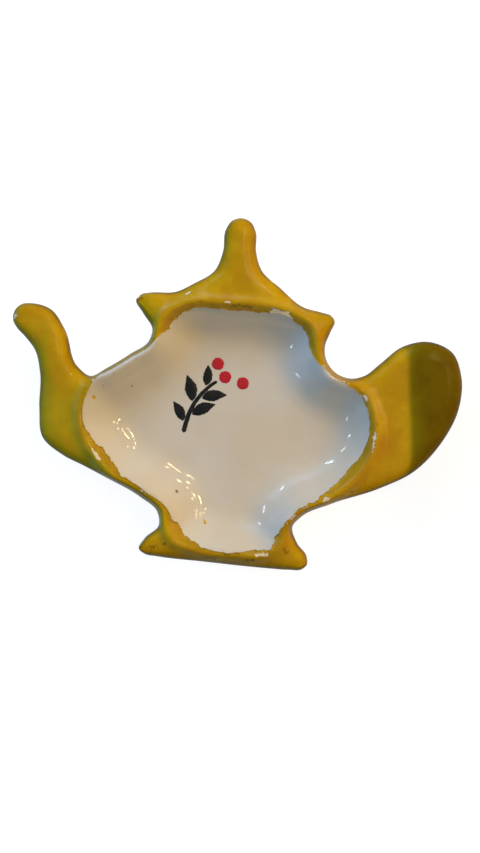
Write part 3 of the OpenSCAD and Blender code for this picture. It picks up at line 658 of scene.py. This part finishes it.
def brush_mark(casting, axis, half, seed):
    """Points and quads of one stroke: a closed thin lens carried along an axis on the floor of the well.

    Across the stroke the profile goes out over half an ellipse and back underneath. The half width tapers
    to nothing at both ends, and waves along each side waver it like the hairs of a brush.
    """
    way = np.gradient(axis, axis=0)
    way /= np.linalg.norm(way, axis=1)[:, None]
    side = np.column_stack([-way[:, 1], way[:, 0]])
    dice = np.random.default_rng(seed)
    run = np.linspace(0, 1, len(axis))
    left, right = [1 + sum(WAVER_DEPTH * np.sin(2 * np.pi * w * run + dice.uniform(0, 6)) for w in WAVER)
                   for _ in "lr"]
    over = np.linspace(-1, 1, STROKE_POINTS)
    v = np.concatenate([over, over[-2:0:-1]])
    reach = np.where(v[None] > 0, left[:, None], right[:, None]) * half[:, None] * v[None]
    flat = axis[:, None] + side[:, None] * reach[..., None]
    dome = np.full(len(v), -SUNK_SHARE)
    dome[:STROKE_POINTS] = np.sqrt(1 - over ** 2) * DOME_SHARE + RIM_STEP_SHARE
    dome[np.abs(v) == 1] *= RIM_STEP_SHARE
    thick = STROKE_T * np.minimum(1, half / half.max() * FULL_WHERE)
    ground = casting.height(flat.reshape(-1, 2)).reshape(len(axis), len(v))
    height = ground + dome[None] * thick[:, None]
    points = np.concatenate([flat - casting.middle, height[..., None]], 2).reshape(-1, 3) * MM
    i, j = np.meshgrid(np.arange(len(axis) - 1), np.arange(len(v)), indexing="ij")
    ahead = (j + 1) % len(v)
    quads = np.stack([i * len(v) + j, (i + 1) * len(v) + j, (i + 1) * len(v) + ahead, i * len(v) + ahead], 2)
    return points, quads.reshape(-1, 4)


def on_floor(points):
    """Places of the sprig's own frame turned and moved to their place in the well."""
    a = math.radians(SPRIG_TURN)
    turned = points @ np.array([[math.cos(a), math.sin(a)], [-math.sin(a), math.cos(a)]])
    return turned + SPRIG_AT


def stem_line(s):
    """Point and direction in degrees of the bowed stem at a share s of its length: a parabola."""
    place = np.column_stack([SPRIG_L * (s - 0.5), BOW_SHARE * SPRIG_L * 4 * s * (1 - s)])
    return place, np.degrees(np.arctan2(BOW_SHARE * 4 * (1 - 2 * s), 1))


def stem_mark(casting):
    """The stem: one stroke that narrows evenly towards the berries, with ends rounded by a square root."""
    s = np.linspace(0, STEM_END, STEM_SAMPLES)
    ends = np.sqrt(np.clip(np.minimum(s, STEM_END - s) / STEM_ROUND, 0, 1))
    half = STEM_W * (1 - STEM_TAPER * s) / 2 * ends
    return [brush_mark(casting, on_floor(stem_line(s)[0]), half, STEM_SEED)]


def leaf_marks(casting):
    """Leaves on both sides of the stem: strokes bent by half a sine wave, whose width is another."""
    marks = []
    for k, (s, side, size) in enumerate(LEAVES):
        heel, lean = stem_line(np.array([s]))
        a = math.radians(lean[0])
        heel = heel[0] + side * (STEM_W / 2 + STROKE_T) * np.array([-math.sin(a), math.cos(a)])
        a += math.radians(side * LEAF_LEAN)
        t = np.linspace(0, 1, LEAF_SAMPLES)
        along = LEAF_L * size * t
        bend = -side * LEAF_BEND_SHARE * LEAF_L * size * np.sin(np.pi * t)
        axis = heel + np.column_stack([along * math.cos(a) - bend * math.sin(a),
                                       along * math.sin(a) + bend * math.cos(a)])
        half = LEAF_W * size * np.sin(np.pi * t ** LEAF_POWER) / 2
        marks.append(brush_mark(casting, on_floor(axis), np.maximum(half, 0), LEAF_SEED + k))
    return marks


def berry_marks(casting):
    """Berries at the tip: strokes as long as they are wide, whose half width is that of a circle."""
    marks = []
    for k, (s, across) in enumerate(BERRIES):
        heel = stem_line(np.array([s]))[0][0] + np.array([0, across * BERRY_D])
        t = np.sin(np.pi * np.linspace(-1, 1, BERRY_SAMPLES) / 2)
        axis = heel + np.column_stack([BERRY_D / 2 * t, 0 * t])
        half = BERRY_D / 2 * np.sqrt(np.maximum(0, 1 - t ** 2))
        marks.append(brush_mark(casting, on_floor(axis), half, BERRY_SEED + k))
    return marks


def painted_piece(name, marks, material, node):
    """All strokes of one colour as one piece, with the ends of each stroke drawn together."""
    points, quads, start = [], [], 0
    for place, faces in marks:
        points.append(place)
        quads.append(faces + start)
        start += len(place)
    no_triangles = np.zeros((0, 3), int)
    piece = new_piece(name, np.concatenate(points), no_triangles, np.concatenate(quads), material, node)
    work = bmesh.new()
    work.from_mesh(piece.data)
    bmesh.ops.remove_doubles(work, verts=work.verts, dist=MERGE_WITHIN)
    bmesh.ops.recalc_face_normals(work, faces=work.faces)
    work.to_mesh(piece.data)
    work.free()
    return piece


# Materials

def hue(text):
    """An sRGB hex value as linear red, green, blue and full alpha."""
    srgb = np.array([int(text[k:k + 2], 16) / 255 for k in (1, 3, 5)])
    linear = np.where(srgb <= 0.04045, srgb / 12.92, ((srgb + 0.055) / 1.055) ** 2.4)
    return (*linear.tolist(), 1.0)


def add(tree, kind, inputs=None, **settings):
    """Adds a shader node, sets what it is told, and links or fills its inputs. Returns the node.

    An input takes a plain value, a socket, or a node, whose first output is meant.
    """
    item = tree.nodes.new("ShaderNode" + kind)
    for name, value in settings.items():
        setattr(item, name, value)
    for name, value in (inputs or {}).items():
        if isinstance(value, bpy.types.Node):
            value = value.outputs[0]
        if isinstance(value, bpy.types.NodeSocket):
            tree.links.new(value, item.inputs[name])
        else:
            item.inputs[name].default_value = value
    return item


def new_material(name):
    """An empty node material and its tree."""
    material = bpy.data.materials.new(name)
    material.use_nodes = True
    material.node_tree.nodes.clear()
    return material, material.node_tree


def clouds(tree, place, size_mm, low, high, detail=3, rough=0.55):
    """Cloudy share 0 to 1 of blotches about size_mm across: noise, eased from low to high."""
    fog = add(tree, "TexNoise", {"Vector": place, "Scale": 1 / (size_mm * MM), "Detail": detail,
                                 "Roughness": rough})
    return add(tree, "MapRange", {"Value": fog, "From Min": low, "From Max": high},
               interpolation_type="SMOOTHSTEP")


def layered(tree, body, layers):
    """A colour under thin layers of others: each layer is a share, a strength from 0 to 1 and a colour."""
    for share, strength, tint in layers:
        amount = add(tree, "Math", {0: share, 1: strength}, operation="MULTIPLY")
        body = add(tree, "Mix", {0: amount, 6: body, 7: hue(tint)}, data_type="RGBA").outputs[2]
    return body


def earthenware_glaze(name, finish):
    """Tin-white earthenware glaze, dipped and fired: glassy, cream, a little uneven, with iron specks.

    It pooled in slow ripples 4.5 mm across, which bend the highlights. It went thin and brownish on the
    crest. Specks are up to 1 mm across.
    """
    material, tree = new_material(name)
    place = add(tree, "TexCoord").outputs["Object"]
    cells = add(tree, "TexVoronoi", {"Vector": place, "Scale": 1 / (6.5 * MM), "Randomness": 1.0})
    chosen = add(tree, "SeparateColor", {"Color": cells.outputs["Color"]})
    grown = add(tree, "MapRange", {"Value": chosen, "From Min": 0.45, "From Max": 1.0, "To Max": 0.075},
                interpolation_type="SMOOTHSTEP")
    speck = add(tree, "Math", {0: cells.outputs["Distance"], 1: grown}, operation="LESS_THAN")
    thin, splash = [add(tree, "Attribute", attribute_name=kept).outputs["Fac"] for kept in ("thin", "splash")]
    thin = add(tree, "Math", {0: thin, 1: clouds(tree, place, 2.5, 0.3, 0.75)}, operation="MULTIPLY")
    splash = add(tree, "MapRange", {"Value": splash, "From Min": 0.45, "From Max": 0.6},
                 interpolation_type="SMOOTHSTEP")
    body = layered(tree, hue(finish.glaze), [
        (clouds(tree, place, 22, 0.35, 0.7, 2), 1.0, finish.glaze_warm), (thin, 0.45, "#B9A27C"),
        (speck, 0.75, "#5A4B33"), (splash, 1.0, finish.enamel)])
    rough = add(tree, "MapRange", {"Value": clouds(tree, place, 5, 0.3, 0.8), "To Min": 0.05, "To Max": 0.12})
    ripple = add(tree, "TexNoise", {"Vector": place, "Scale": 1 / (4.5 * MM), "Detail": 1})
    relief = add(tree, "Math", {0: speck, 1: 0.4, 2: ripple}, operation="MULTIPLY_ADD")
    bump = add(tree, "Bump", {"Height": relief, "Distance": 0.3 * MM, "Strength": 0.4})
    surface = add(tree, "BsdfPrincipled", {"Base Color": body, "Roughness": rough, "IOR": 1.5,
                                           "Normal": bump})
    add(tree, "OutputMaterial", {"Surface": surface})
    return material


def brushed_enamel(name, finish):
    """Mustard enamel brushed on over the glaze: semi-gloss, thicker in places and worn through to the glaze.

    Slow blotches 9 mm across show where it went on thicker, and faint streaks 1.2 mm wide where the brush
    passed. Along its outer edge it is painted dark brown, which is painted shade where the slopes turn away
    from the light, and it is brownish along its border in the well. The slopes of the edge are dulled, so
    they mirror less. Dirt sits in specks under a millimetre across, and each chip has a dirty rim. A dark
    line of painted shade runs along the border below the lid. The green patches are partly the enamel's own
    tint and partly painted cool light, and the orange patches are partly its own tint and partly painted
    shade where they lie beside the right ridge.
    """
    material, tree = new_material(name)
    place = add(tree, "TexCoord").outputs["Object"]
    drawn = add(tree, "Mapping", {"Vector": place, "Rotation": (0, 0, math.radians(24)),
                                  "Scale": (1.0, 3.0, 1.0)})
    streak = add(tree, "TexNoise", {"Vector": drawn, "Scale": 1 / (3.6 * MM), "Detail": 3, "Distortion": 0.8})
    grain = add(tree, "TexNoise", {"Vector": place, "Scale": 1 / (0.9 * MM), "Detail": 3, "Roughness": 0.6})
    specks = add(tree, "TexNoise", {"Vector": place, "Scale": 1 / (0.8 * MM), "Detail": 4, "Roughness": 0.7})
    kept = {mask: add(tree, "Attribute", attribute_name=mask).outputs["Fac"]
            for mask in ("greened_and_cool_lit", "oranged_and_shaded", "border", "outer", "sloped", "grimed_and_shaded", "worn")}
    # Specks of soil, with a line of painted shade along the border below the lid
    soiled_and_shaded = add(tree, "Math", {0: specks, 1: 2.2, 2: kept["grimed_and_shaded"]}, operation="MULTIPLY_ADD")
    rubbed = add(tree, "Math", {0: grain, 1: 1.1, 2: kept["worn"]}, operation="MULTIPLY_ADD")
    drag, dirt_and_shade, halo, chip = [
        add(tree, "MapRange", {"Value": value, "From Min": low, "From Max": high},
            interpolation_type="SMOOTHSTEP")
        for value, low, high in ((streak, 0.4, 0.8), (soiled_and_shaded, 1.75, 2.45), (rubbed, 0.85, 1.01),
                                 (rubbed, 0.99, 1.15))]
    layers = [(clouds(tree, place, 9, 0.32, 0.68, 4, 0.6), 1.0, finish.enamel_deep),
              (drag, 0.12, finish.enamel_thin)]
    # The green tint is partly painted cool light, the orange partly painted shade, the outer band painted
    # shade
    for mask, pattern, strength, tint in (
            ("greened_and_cool_lit", clouds(tree, place, 9, 0.0, 0.55, 4, 0.6), 0.45, finish.olive_and_cool_light),
            ("oranged_and_shaded", clouds(tree, place, 5, 0.15, 0.65), 0.4, finish.amber_and_shade),
            ("border", clouds(tree, place, 2, 0.25, 0.6), 0.45, finish.brushed_edge),
            ("outer", clouds(tree, place, 5, 0.1, 0.6), 0.9, finish.shaded)):
        share = add(tree, "Math", {0: kept[mask], 1: pattern}, operation="MULTIPLY")
        layers.append((share, strength, tint))
    layers += [(dirt_and_shade, 0.75, finish.grime_and_shade), (halo, 0.6, finish.grime_and_shade), (chip, 1.0, finish.chip)]
    dull = add(tree, "MapRange", {"Value": clouds(tree, place, 3, 0.25, 0.8, 4), "To Min": 0.13,
                                  "To Max": 0.24})
    rough = add(tree, "Math", {0: chip, 1: -0.12, 2: dull}, operation="MULTIPLY_ADD")
    level = add(tree, "Math", {0: kept["sloped"], 1: -0.26, 2: 0.32}, operation="MULTIPLY_ADD")
    relief = 0.0
    for pattern, depth in ((streak, 0.3), (grain, 0.12), (chip, -0.8)):
        relief = add(tree, "Math", {0: pattern, 1: depth, 2: relief}, operation="MULTIPLY_ADD")
    bump = add(tree, "Bump", {"Height": relief, "Distance": 0.22 * MM, "Strength": 0.6})
    surface = add(tree, "BsdfPrincipled", {
        "Base Color": layered(tree, hue(finish.enamel), layers), "Roughness": rough, "IOR": 1.48,
        "Specular IOR Level": level, "Normal": bump})
    add(tree, "OutputMaterial", {"Surface": surface})
    return material


def bisque_clay(name, finish):
    """Unglazed buff earthenware, slip-cast and sponged: matt, with fine grit and a rubbed, dusty foot."""
    material, tree = new_material(name)
    place = add(tree, "TexCoord").outputs["Object"]
    grit = add(tree, "TexNoise", {"Vector": place, "Scale": 1 / (0.5 * MM), "Detail": 4, "Roughness": 0.7})
    height = add(tree, "SeparateXYZ", {"Vector": place}).outputs["Z"]
    foot = add(tree, "MapRange", {"Value": height, "From Min": 0.6 * MM, "From Max": 0.0},
               interpolation_type="SMOOTHSTEP")
    foot = add(tree, "Math", {0: foot, 1: clouds(tree, place, 5, 0.3, 0.7, 4)}, operation="MULTIPLY")
    body = layered(tree, hue(finish.clay), [
        (clouds(tree, place, 14, 0.35, 0.7, 4, 0.6), 1.0, "#B79B78"),
        (clouds(tree, place, 0.5, 0.55, 0.75, 4, 0.7), 0.35, "#8B6F4E"), (foot, 0.6, "#7B6A55")])
    bump = add(tree, "Bump", {"Height": grit, "Distance": 0.12 * MM, "Strength": 0.6})
    surface = add(tree, "BsdfPrincipled", {"Base Color": body, "Roughness": 0.85, "IOR": 1.5, "Normal": bump})
    add(tree, "OutputMaterial", {"Surface": surface})
    return material


def stroke_enamel(name, colour, thin_colour):
    """Painter's enamel laid on in one stroke: glossy, and thinner in streaks that the hairs left.

    The streaks run along the sprig, 1.8 mm long and a quarter as wide.
    """
    material, tree = new_material(name)
    place = add(tree, "TexCoord").outputs["Object"]
    drawn = add(tree, "Mapping", {"Vector": place, "Rotation": (0, 0, math.radians(-SPRIG_TURN)),
                                  "Scale": (1.0, 4.0, 1.0)})
    streak = add(tree, "TexNoise", {"Vector": drawn, "Scale": 1 / (1.8 * MM), "Detail": 4, "Roughness": 0.65})
    body = layered(tree, hue(colour), [(clouds(tree, drawn, 1.8, 0.52, 0.78, 4, 0.65), 1.0, thin_colour)])
    rough = add(tree, "MapRange", {"Value": streak, "To Min": 0.22, "To Max": 0.42})
    bump = add(tree, "Bump", {"Height": streak, "Distance": 0.1 * MM, "Strength": 0.5})
    surface = add(tree, "BsdfPrincipled", {"Base Color": body, "Roughness": rough, "IOR": 1.48,
                                           "Normal": bump})
    add(tree, "OutputMaterial", {"Surface": surface})
    return material


def grey_scrim(name):
    """Grey gauze: it lets rather more than a quarter of the light through and scatters none of it."""
    material, tree = new_material(name)
    gauze = add(tree, "BsdfTransparent", {"Color": hue("#8E9393")})
    add(tree, "OutputMaterial", {"Surface": gauze})
    return material


def pale_tabletop(name):
    """Matt card of a mid tone that glows for the camera and in reflections, so that it reads as white there.

    It throws little light up on the rest, and keeps the rest's soft shadow.
    """
    material, tree = new_material(name)
    place = add(tree, "TexCoord").outputs["Object"]
    tone = layered(tree, hue("#A3A29E"), [(add(tree, "TexNoise", {
        "Vector": place, "Scale": 1 / (4 * MM), "Detail": 3, "Roughness": 0.55}), 1.0, "#9D9C97")])
    card = add(tree, "BsdfPrincipled", {"Base Color": tone, "Roughness": 0.9})
    glow = add(tree, "Emission", {"Color": hue("#FFFFFF"), "Strength": 0.90})
    lit_card = add(tree, "AddShader", {0: card, 1: glow})
    seen = add(tree, "LightPath")
    lit = seen.outputs["Is Camera Ray"]
    for ray in ("Is Glossy Ray", "Is Transmission Ray"):
        lit = add(tree, "Math", {0: lit, 1: seen.outputs[ray]}, operation="MAXIMUM")
    mixed = add(tree, "MixShader", {0: lit, 1: card, 2: lit_card})
    add(tree, "OutputMaterial", {"Surface": mixed})
    return material


# Settings that a user may change

def length(label, text, value_mm):
    """A length that a user may change, in metres, with its default in millimetres."""
    return bpy.props.FloatProperty(name=label, description=text, default=value_mm * MM, min=0, precision=5,
                                   subtype="DISTANCE", unit="LENGTH")


def colour(label, text, value):
    """A colour that a user may change, as an sRGB hex value."""
    return bpy.props.StringProperty(name=label, description=text, default=value)


class TeaRestForm(bpy.types.PropertyGroup):
    """Sizes of the coats and of the relief."""
    glaze_t: length("Glaze", "Thickness of the glaze coat", 0.35)
    enamel_t: length("Enamel", "Thickness of the brushed enamel", 0.15)
    roll_w: length("Roll", "Width of the rolled edge", 4.2)
    ridge_w: length("Ridge", "Width of the outer slope of the crest", 2.8)
    ease_w: length("Ease", "How far the glaze rounds off the relief", 0.85)
    wall_w: length("Wall", "Width of the wall of the well in plan", 12.0)
    well_ease_w: length("Well ease", "How far the well is rounded off", 1.6)
    cast_wave: length("Unevenness", "Depth of the hand-cast unevenness", 0.05)
    ragged_w: length("Raggedness", "How far the brushed border wanders", 1.0)
    mesh_step: length("Mesh step", "Spacing of the lattice inside the rolled edge", 0.55)
    edge_samples: bpy.props.IntProperty(name="Edge samples", description="Points along the outline",
                                        default=1200, min=300)
    brush_seed: bpy.props.IntProperty(name="Brush seed", description="Another border of the enamel",
                                      default=5)


class TeaRestFinish(bpy.types.PropertyGroup):
    """Colours of the coats, as sRGB hex values."""
    glaze: colour("Glaze", "Cream glaze", "#D8D2C6")
    glaze_warm: colour("Warm glaze", "Cream glaze where it pooled", "#D3C9B6")
    enamel: colour("Enamel", "Mustard enamel", "#C8A006")
    enamel_deep: colour("Deep enamel", "Mustard enamel where it is thick", "#B68B02")
    enamel_thin: colour("Thin enamel", "Mustard enamel between the brush hairs", "#CBA91C")
    # Greenish tint, partly the enamel's own and partly painted cool light from the left
    olive_and_cool_light: colour("Olive", "Enamel that went on thin and greenish", "#9C960C")
    # Orange tint, partly the enamel's own and partly painted shade beside the right ridge
    amber_and_shade: colour("Amber", "Enamel that fired orange", "#B37306")
    brushed_edge: colour("Brushed edge", "Enamel along its ragged border", "#9A7606")
    # Painted shade along the outer edge, where its slopes turn away from the light
    shaded: colour("Shaded", "Enamel browned along the outer edge", "#5C4602")
    chip: colour("Chip", "Glaze that shows where the enamel has chipped off", "#EAD6AC")
    # Dirt, and the colour of a line of painted shade along the border below the lid
    grime_and_shade: colour("Grime", "Dirt rubbed into the wear", "#4A3210")
    clay: colour("Clay", "Bare buff clay", "#CBB28F")
    stem: colour("Stem", "Near-black enamel of stem and leaves", "#1A1614")
    stem_thin: colour("Thin stem", "Near-black enamel in the streaks of a stroke", "#3A2F2A")
    berry: colour("Berry", "Red enamel of the berries", "#C4182A")
    berry_thin: colour("Thin berry", "Red enamel in the streaks of a stroke", "#CE3A42")


def kept_casting():
    """The casting, worked out on the first call and then kept on the class."""
    if Casting.made is None:
        Casting.made = Casting(bpy.context.scene.tea_rest_form)
    return Casting.made


Casting.made = None


class TEAREST_OT_clay(bpy.types.Operator):
    """Makes the clay casting with its standing ring"""
    bl_idname = "tea_rest.clay"
    bl_label = "Clay casting"

    def execute(self, context):
        form, finish = context.scene.tea_rest_form, context.scene.tea_rest_finish
        piece = clay_casting(kept_casting(), form, bisque_clay("buff_bisque", finish))
        return {"FINISHED"}


class TEAREST_OT_glaze(bpy.types.Operator):
    """Makes the cream glaze over the well, the lobes and the rolled edge"""
    bl_idname = "tea_rest.glaze"
    bl_label = "Cream glaze"

    def execute(self, context):
        form, finish = context.scene.tea_rest_form, context.scene.tea_rest_finish
        casting = kept_casting()
        material = earthenware_glaze("cream_earthenware_glaze", finish)
        piece, place = shell("cream_glaze", casting, form.mesh_step / MM, FULL_UNDER, 0.0, -form.glaze_t / MM,
                             material, "white_glaze")
        store(piece, "thin", 1 - smooth_step(*THIN_BAND, nearest(place, casting.crest)[0]))
        store(piece, "splash", spots(place, SPLASHED, SPLASH_SEED))
        return {"FINISHED"}


class TEAREST_OT_enamel(bpy.types.Operator):
    """Makes the mustard enamel brushed over the glaze outside the well"""
    bl_idname = "tea_rest.enamel"
    bl_label = "Mustard enamel"

    def execute(self, context):
        form, finish = context.scene.tea_rest_form, context.scene.tea_rest_finish
        casting = kept_casting()
        bare = casting.enamel_edge(form)
        material = brushed_enamel("brushed_mustard_enamel", finish)
        thick = form.enamel_t / MM

        def coat(place):
            """Thickness at each place: a quarter ellipse up from the border to the full thickness."""
            share = np.minimum(1, nearest(place, bare)[0] / COAT_EASE_W)
            return thick * (COAT_EDGE_SHARE + (1 - COAT_EDGE_SHARE) * np.sqrt(1 - (1 - share) ** 2))

        piece, place = shell("mustard_enamel", casting, form.mesh_step / MM, ENAMEL_UNDER, coat, -ENAMEL_SUNK,
                             material, "rim_paint", bare)
        from_edge = nearest(place, casting.edge)[0]
        store(piece, "border", 1 - smooth_step(*BORDER_BAND, nearest(place, bare)[0]))
        # The outer band is where the edge is painted darker, as painted shade
        store(piece, "outer", 1 - smooth_step(*EDGE_SHADE_BAND, from_edge))
        store(piece, "sloped", 1 - smooth_step(*SLOPED_BAND, from_edge))
        # Worn chips, soil with a line of painted shade, and tints that are partly painted cool light and
        # shade
        for name, table in (("worn", WORN), ("grimed_and_shaded", GRIMED_AND_SHADED), ("greened_and_cool_lit", GREENED_AND_COOL_LIT), ("oranged_and_shaded", ORANGED_AND_SHADED)):
            store(piece, name, spots(place, table, len(table)))
        return {"FINISHED"}


class TEAREST_OT_sprig(bpy.types.Operator):
    """Makes the painted sprig on the floor of the well"""
    bl_idname = "tea_rest.sprig"
    bl_label = "Painted sprig"

    def execute(self, context):
        finish = context.scene.tea_rest_finish
        casting = kept_casting()
        dark = stroke_enamel("near_black_enamel", finish.stem, finish.stem_thin)
        red = stroke_enamel("cherry_enamel", finish.berry, finish.berry_thin)
        for name, marks, material, slot in (
                ("painted_stem", stem_mark(casting), dark, "dark_paint"),
                ("painted_leaves", leaf_marks(casting), dark, "dark_paint"),
                ("painted_berries", berry_marks(casting), red, "red_paint")):
            piece = painted_piece(name, marks, material, name.replace("painted", "sprig"))
        return {"FINISHED"}


# The stage, in metres: the tabletop, and a scrim that shades the end of the handle
TABLETOP = (-2, -2), (2, -2), (2, 2), (-2, 2)
SCRIM = ((0.0451, 0.0146), (0.0487, -0.0182), (0.051, -0.040), (0.072, -0.040), (0.072, 0.040),
         (0.0423, 0.040))
SCRIM_Z = 0.014
LAMPS_AIM = 0, 0, 0.008
# Broad lamps, which reflections leave out: name, place, size, strength and linear tint
BROAD_LAMPS = (("warm_panel", (0.48, 0.06, 0.44), 0.50, 0.38, (1.0, 0.54, 0.06)),
               ("warm_wall", (0.05, 0.60, 0.35), 0.45, 0.38, (1.0, 0.83, 0.64)),
               ("warm_ceiling", (0.0, 0.0, 0.65), 0.40, 0.09, (1.0, 0.45, 0.10)),
               ("cool_window", (-0.62, 0.06, 0.30), 0.55, 0.36, (0.02, 0.31, 1.0)))
# Places of the small warm bulbs and of the cool window panes, which show as highlights in the glaze, and
# how far those strips are turned, in degrees
BULBS = ((0.26, 0.06, 0.46), (0.24, 0.22, 0.44), (0.36, 0.26, 0.40), (0.20, 0.36, 0.42), (0.34, 0.40, 0.38),
         (0.14, 0.15, 0.50), (0.32, 0.13, 0.38), (0.17, 0.27, 0.50), (0.43, 0.15, 0.36))
PANES = ((-0.46, 0.20, 0.24), (-0.36, 0.38, 0.30), (-0.55, 0.02, 0.22), (-0.46, -0.24, 0.22))
STRIP_TURN = 40
# The camera: its place in plan, its height over the edge, the height of its frame there, its turn in
# degrees, and its sensor in mm
CAMERA_AT, CAMERA_AWAY, FRAME_HEIGHT, CAMERA_TURN, SENSOR_MM = (0.00217, -0.00903), 0.45, 0.22536, 4.5, 36


def stage_sheet(name, corners, height, material):
    """A flat sheet of the stage through its corners, at a height."""
    mesh = bpy.data.meshes.new(name)
    mesh.from_pydata([(x, y, height) for x, y in corners], [], [list(range(len(corners)))])
    mesh.materials.append(material)
    sheet = bpy.data.objects.new(name, mesh)
    bpy.context.scene.collection.objects.link(sheet)
    return sheet


def lamp(name, place, size, strength, tint, long=None, turn=0):
    """A lamp that would make white card at its aim read as strength when it stands squarely above.

    Its power is the strength times pi squared times the squared distance. It is a square of a size, or a
    strip of that width and another length, turned about its own beam.
    """
    data = bpy.data.lights.new(name, "AREA")
    away = Vector(place) - Vector(LAMPS_AIM)
    data.shape = "RECTANGLE"
    data.size = size
    data.size_y = long or size
    data.color = tint
    data.energy = strength * math.pi ** 2 * away.length_squared
    light = bpy.data.objects.new(name, data)
    light.location = place
    twist = Quaternion((0, 0, 1), math.radians(turn))
    light.rotation_euler = (away.to_track_quat("Z", "Y") @ twist).to_euler()
    bpy.context.scene.collection.objects.link(light)
    return light


def room_light():
    """The world: a dim blue room, white for the camera, with a low white backdrop for reflections."""
    world = bpy.data.worlds.new("soft_room")
    world.use_nodes = True
    tree = world.node_tree
    tree.nodes.clear()
    seen = add(tree, "LightPath").outputs
    room = add(tree, "Background", {"Color": (0.12, 0.68, 1.0, 1), "Strength": 0.20})
    white = add(tree, "Background", {"Color": (1, 1, 1, 1), "Strength": 1.0})
    way = add(tree, "TexCoord").outputs["Generated"]
    height = add(tree, "SeparateXYZ", {"Vector": way}).outputs["Z"]
    low = add(tree, "MapRange", {"Value": height, "From Min": 0.10, "From Max": 0.03},
              interpolation_type="SMOOTHSTEP")
    bounced = add(tree, "Math", {0: seen["Is Glossy Ray"], 1: seen["Is Transmission Ray"]},
                  operation="MAXIMUM")
    backdrop = add(tree, "Math", {0: bounced, 1: low}, operation="MULTIPLY")
    plain = add(tree, "Math", {0: seen["Is Camera Ray"], 1: backdrop}, operation="MAXIMUM")
    both = add(tree, "MixShader", {0: plain, 1: room, 2: white})
    add(tree, "OutputWorld", {"Surface": both})
    bpy.context.scene.world = world


def photo_camera():
    """The photo's view, from straight above. The lens is the sensor times the distance over the frame."""
    data = bpy.data.cameras.new("camera")
    data.sensor_fit = "VERTICAL"
    data.sensor_height = SENSOR_MM
    data.lens = SENSOR_MM * CAMERA_AWAY / FRAME_HEIGHT
    data.clip_start = 0.01
    camera = bpy.data.objects.new("camera", data)
    camera.location = (*CAMERA_AT, CAMERA_AWAY + EDGE_Z * MM)
    camera.rotation_euler = (0, 0, math.radians(CAMERA_TURN))
    bpy.context.scene.collection.objects.link(camera)
    bpy.context.scene.camera = camera


class TEAREST_OT_stage(bpy.types.Operator):
    """Sets the pale tabletop, the lamps and the camera"""
    bl_idname = "tea_rest.stage"
    bl_label = "Stage"

    def execute(self, context):
        stage_sheet("tabletop", TABLETOP, 0, pale_tabletop("matt_white_card"))
        stage_sheet("scrim", SCRIM, SCRIM_Z, grey_scrim("grey_gauze")).visible_camera = False
        for name, place, size, strength, tint in BROAD_LAMPS:
            lamp(name, place, size, strength, tint).visible_glossy = False
        lamp("cool_skylight", (-0.29, 0.54, 0.35), 0.60, 0.22, (0.18, 0.53, 1.0), 0.32)
        for k, place in enumerate(BULBS):
            lamp("bulb_%d" % k, place, 0.014, 0.038, (1.0, 0.70, 0.32), 0.05, STRIP_TURN)
        for k, place in enumerate(PANES):
            lamp("pane_%d" % k, place, 0.024, 0.034, (0.70, 0.86, 1.0), 0.08, STRIP_TURN)
        room_light()
        photo_camera()
        context.scene.view_settings.view_transform = "Standard"
        return {"FINISHED"}


class TEAREST_PT_panel(bpy.types.Panel):
    """Lists the pieces and their settings in the sidebar"""
    bl_label = "Tea bag rest"
    bl_idname = "TEAREST_PT_panel"
    bl_space_type = "VIEW_3D"
    bl_region_type = "UI"
    bl_category = "Tea bag rest"

    def draw(self, context):
        for group in (context.scene.tea_rest_form, context.scene.tea_rest_finish):
            # The first two properties of a group are Blender's own
            for name in group.bl_rna.properties.keys()[2:]:
                self.layout.prop(group, name)
        for step in STEPS:
            self.layout.operator(step.bl_idname)


STEPS = (TEAREST_OT_clay, TEAREST_OT_glaze, TEAREST_OT_enamel, TEAREST_OT_sprig, TEAREST_OT_stage)
CLASSES = (TeaRestForm, TeaRestFinish, *STEPS, TEAREST_PT_panel)


def register():
    """Registers the classes and gives the scene its sizes and colours."""
    for item in CLASSES:
        bpy.utils.register_class(item)
    bpy.types.Scene.tea_rest_form = bpy.props.PointerProperty(type=TeaRestForm)
    bpy.types.Scene.tea_rest_finish = bpy.props.PointerProperty(type=TeaRestFinish)


def unregister():
    """Takes back what register gave, in the other order."""
    del bpy.types.Scene.tea_rest_finish
    del bpy.types.Scene.tea_rest_form
    for item in reversed(CLASSES):
        bpy.utils.unregister_class(item)


def main():
    """Registers the classes, then makes every piece and the stage in order."""
    register()
    for step in (bpy.ops.tea_rest.clay, bpy.ops.tea_rest.glaze, bpy.ops.tea_rest.enamel,
                 bpy.ops.tea_rest.sprig, bpy.ops.tea_rest.stage):
        step()


if __name__ == "__main__":
    main()
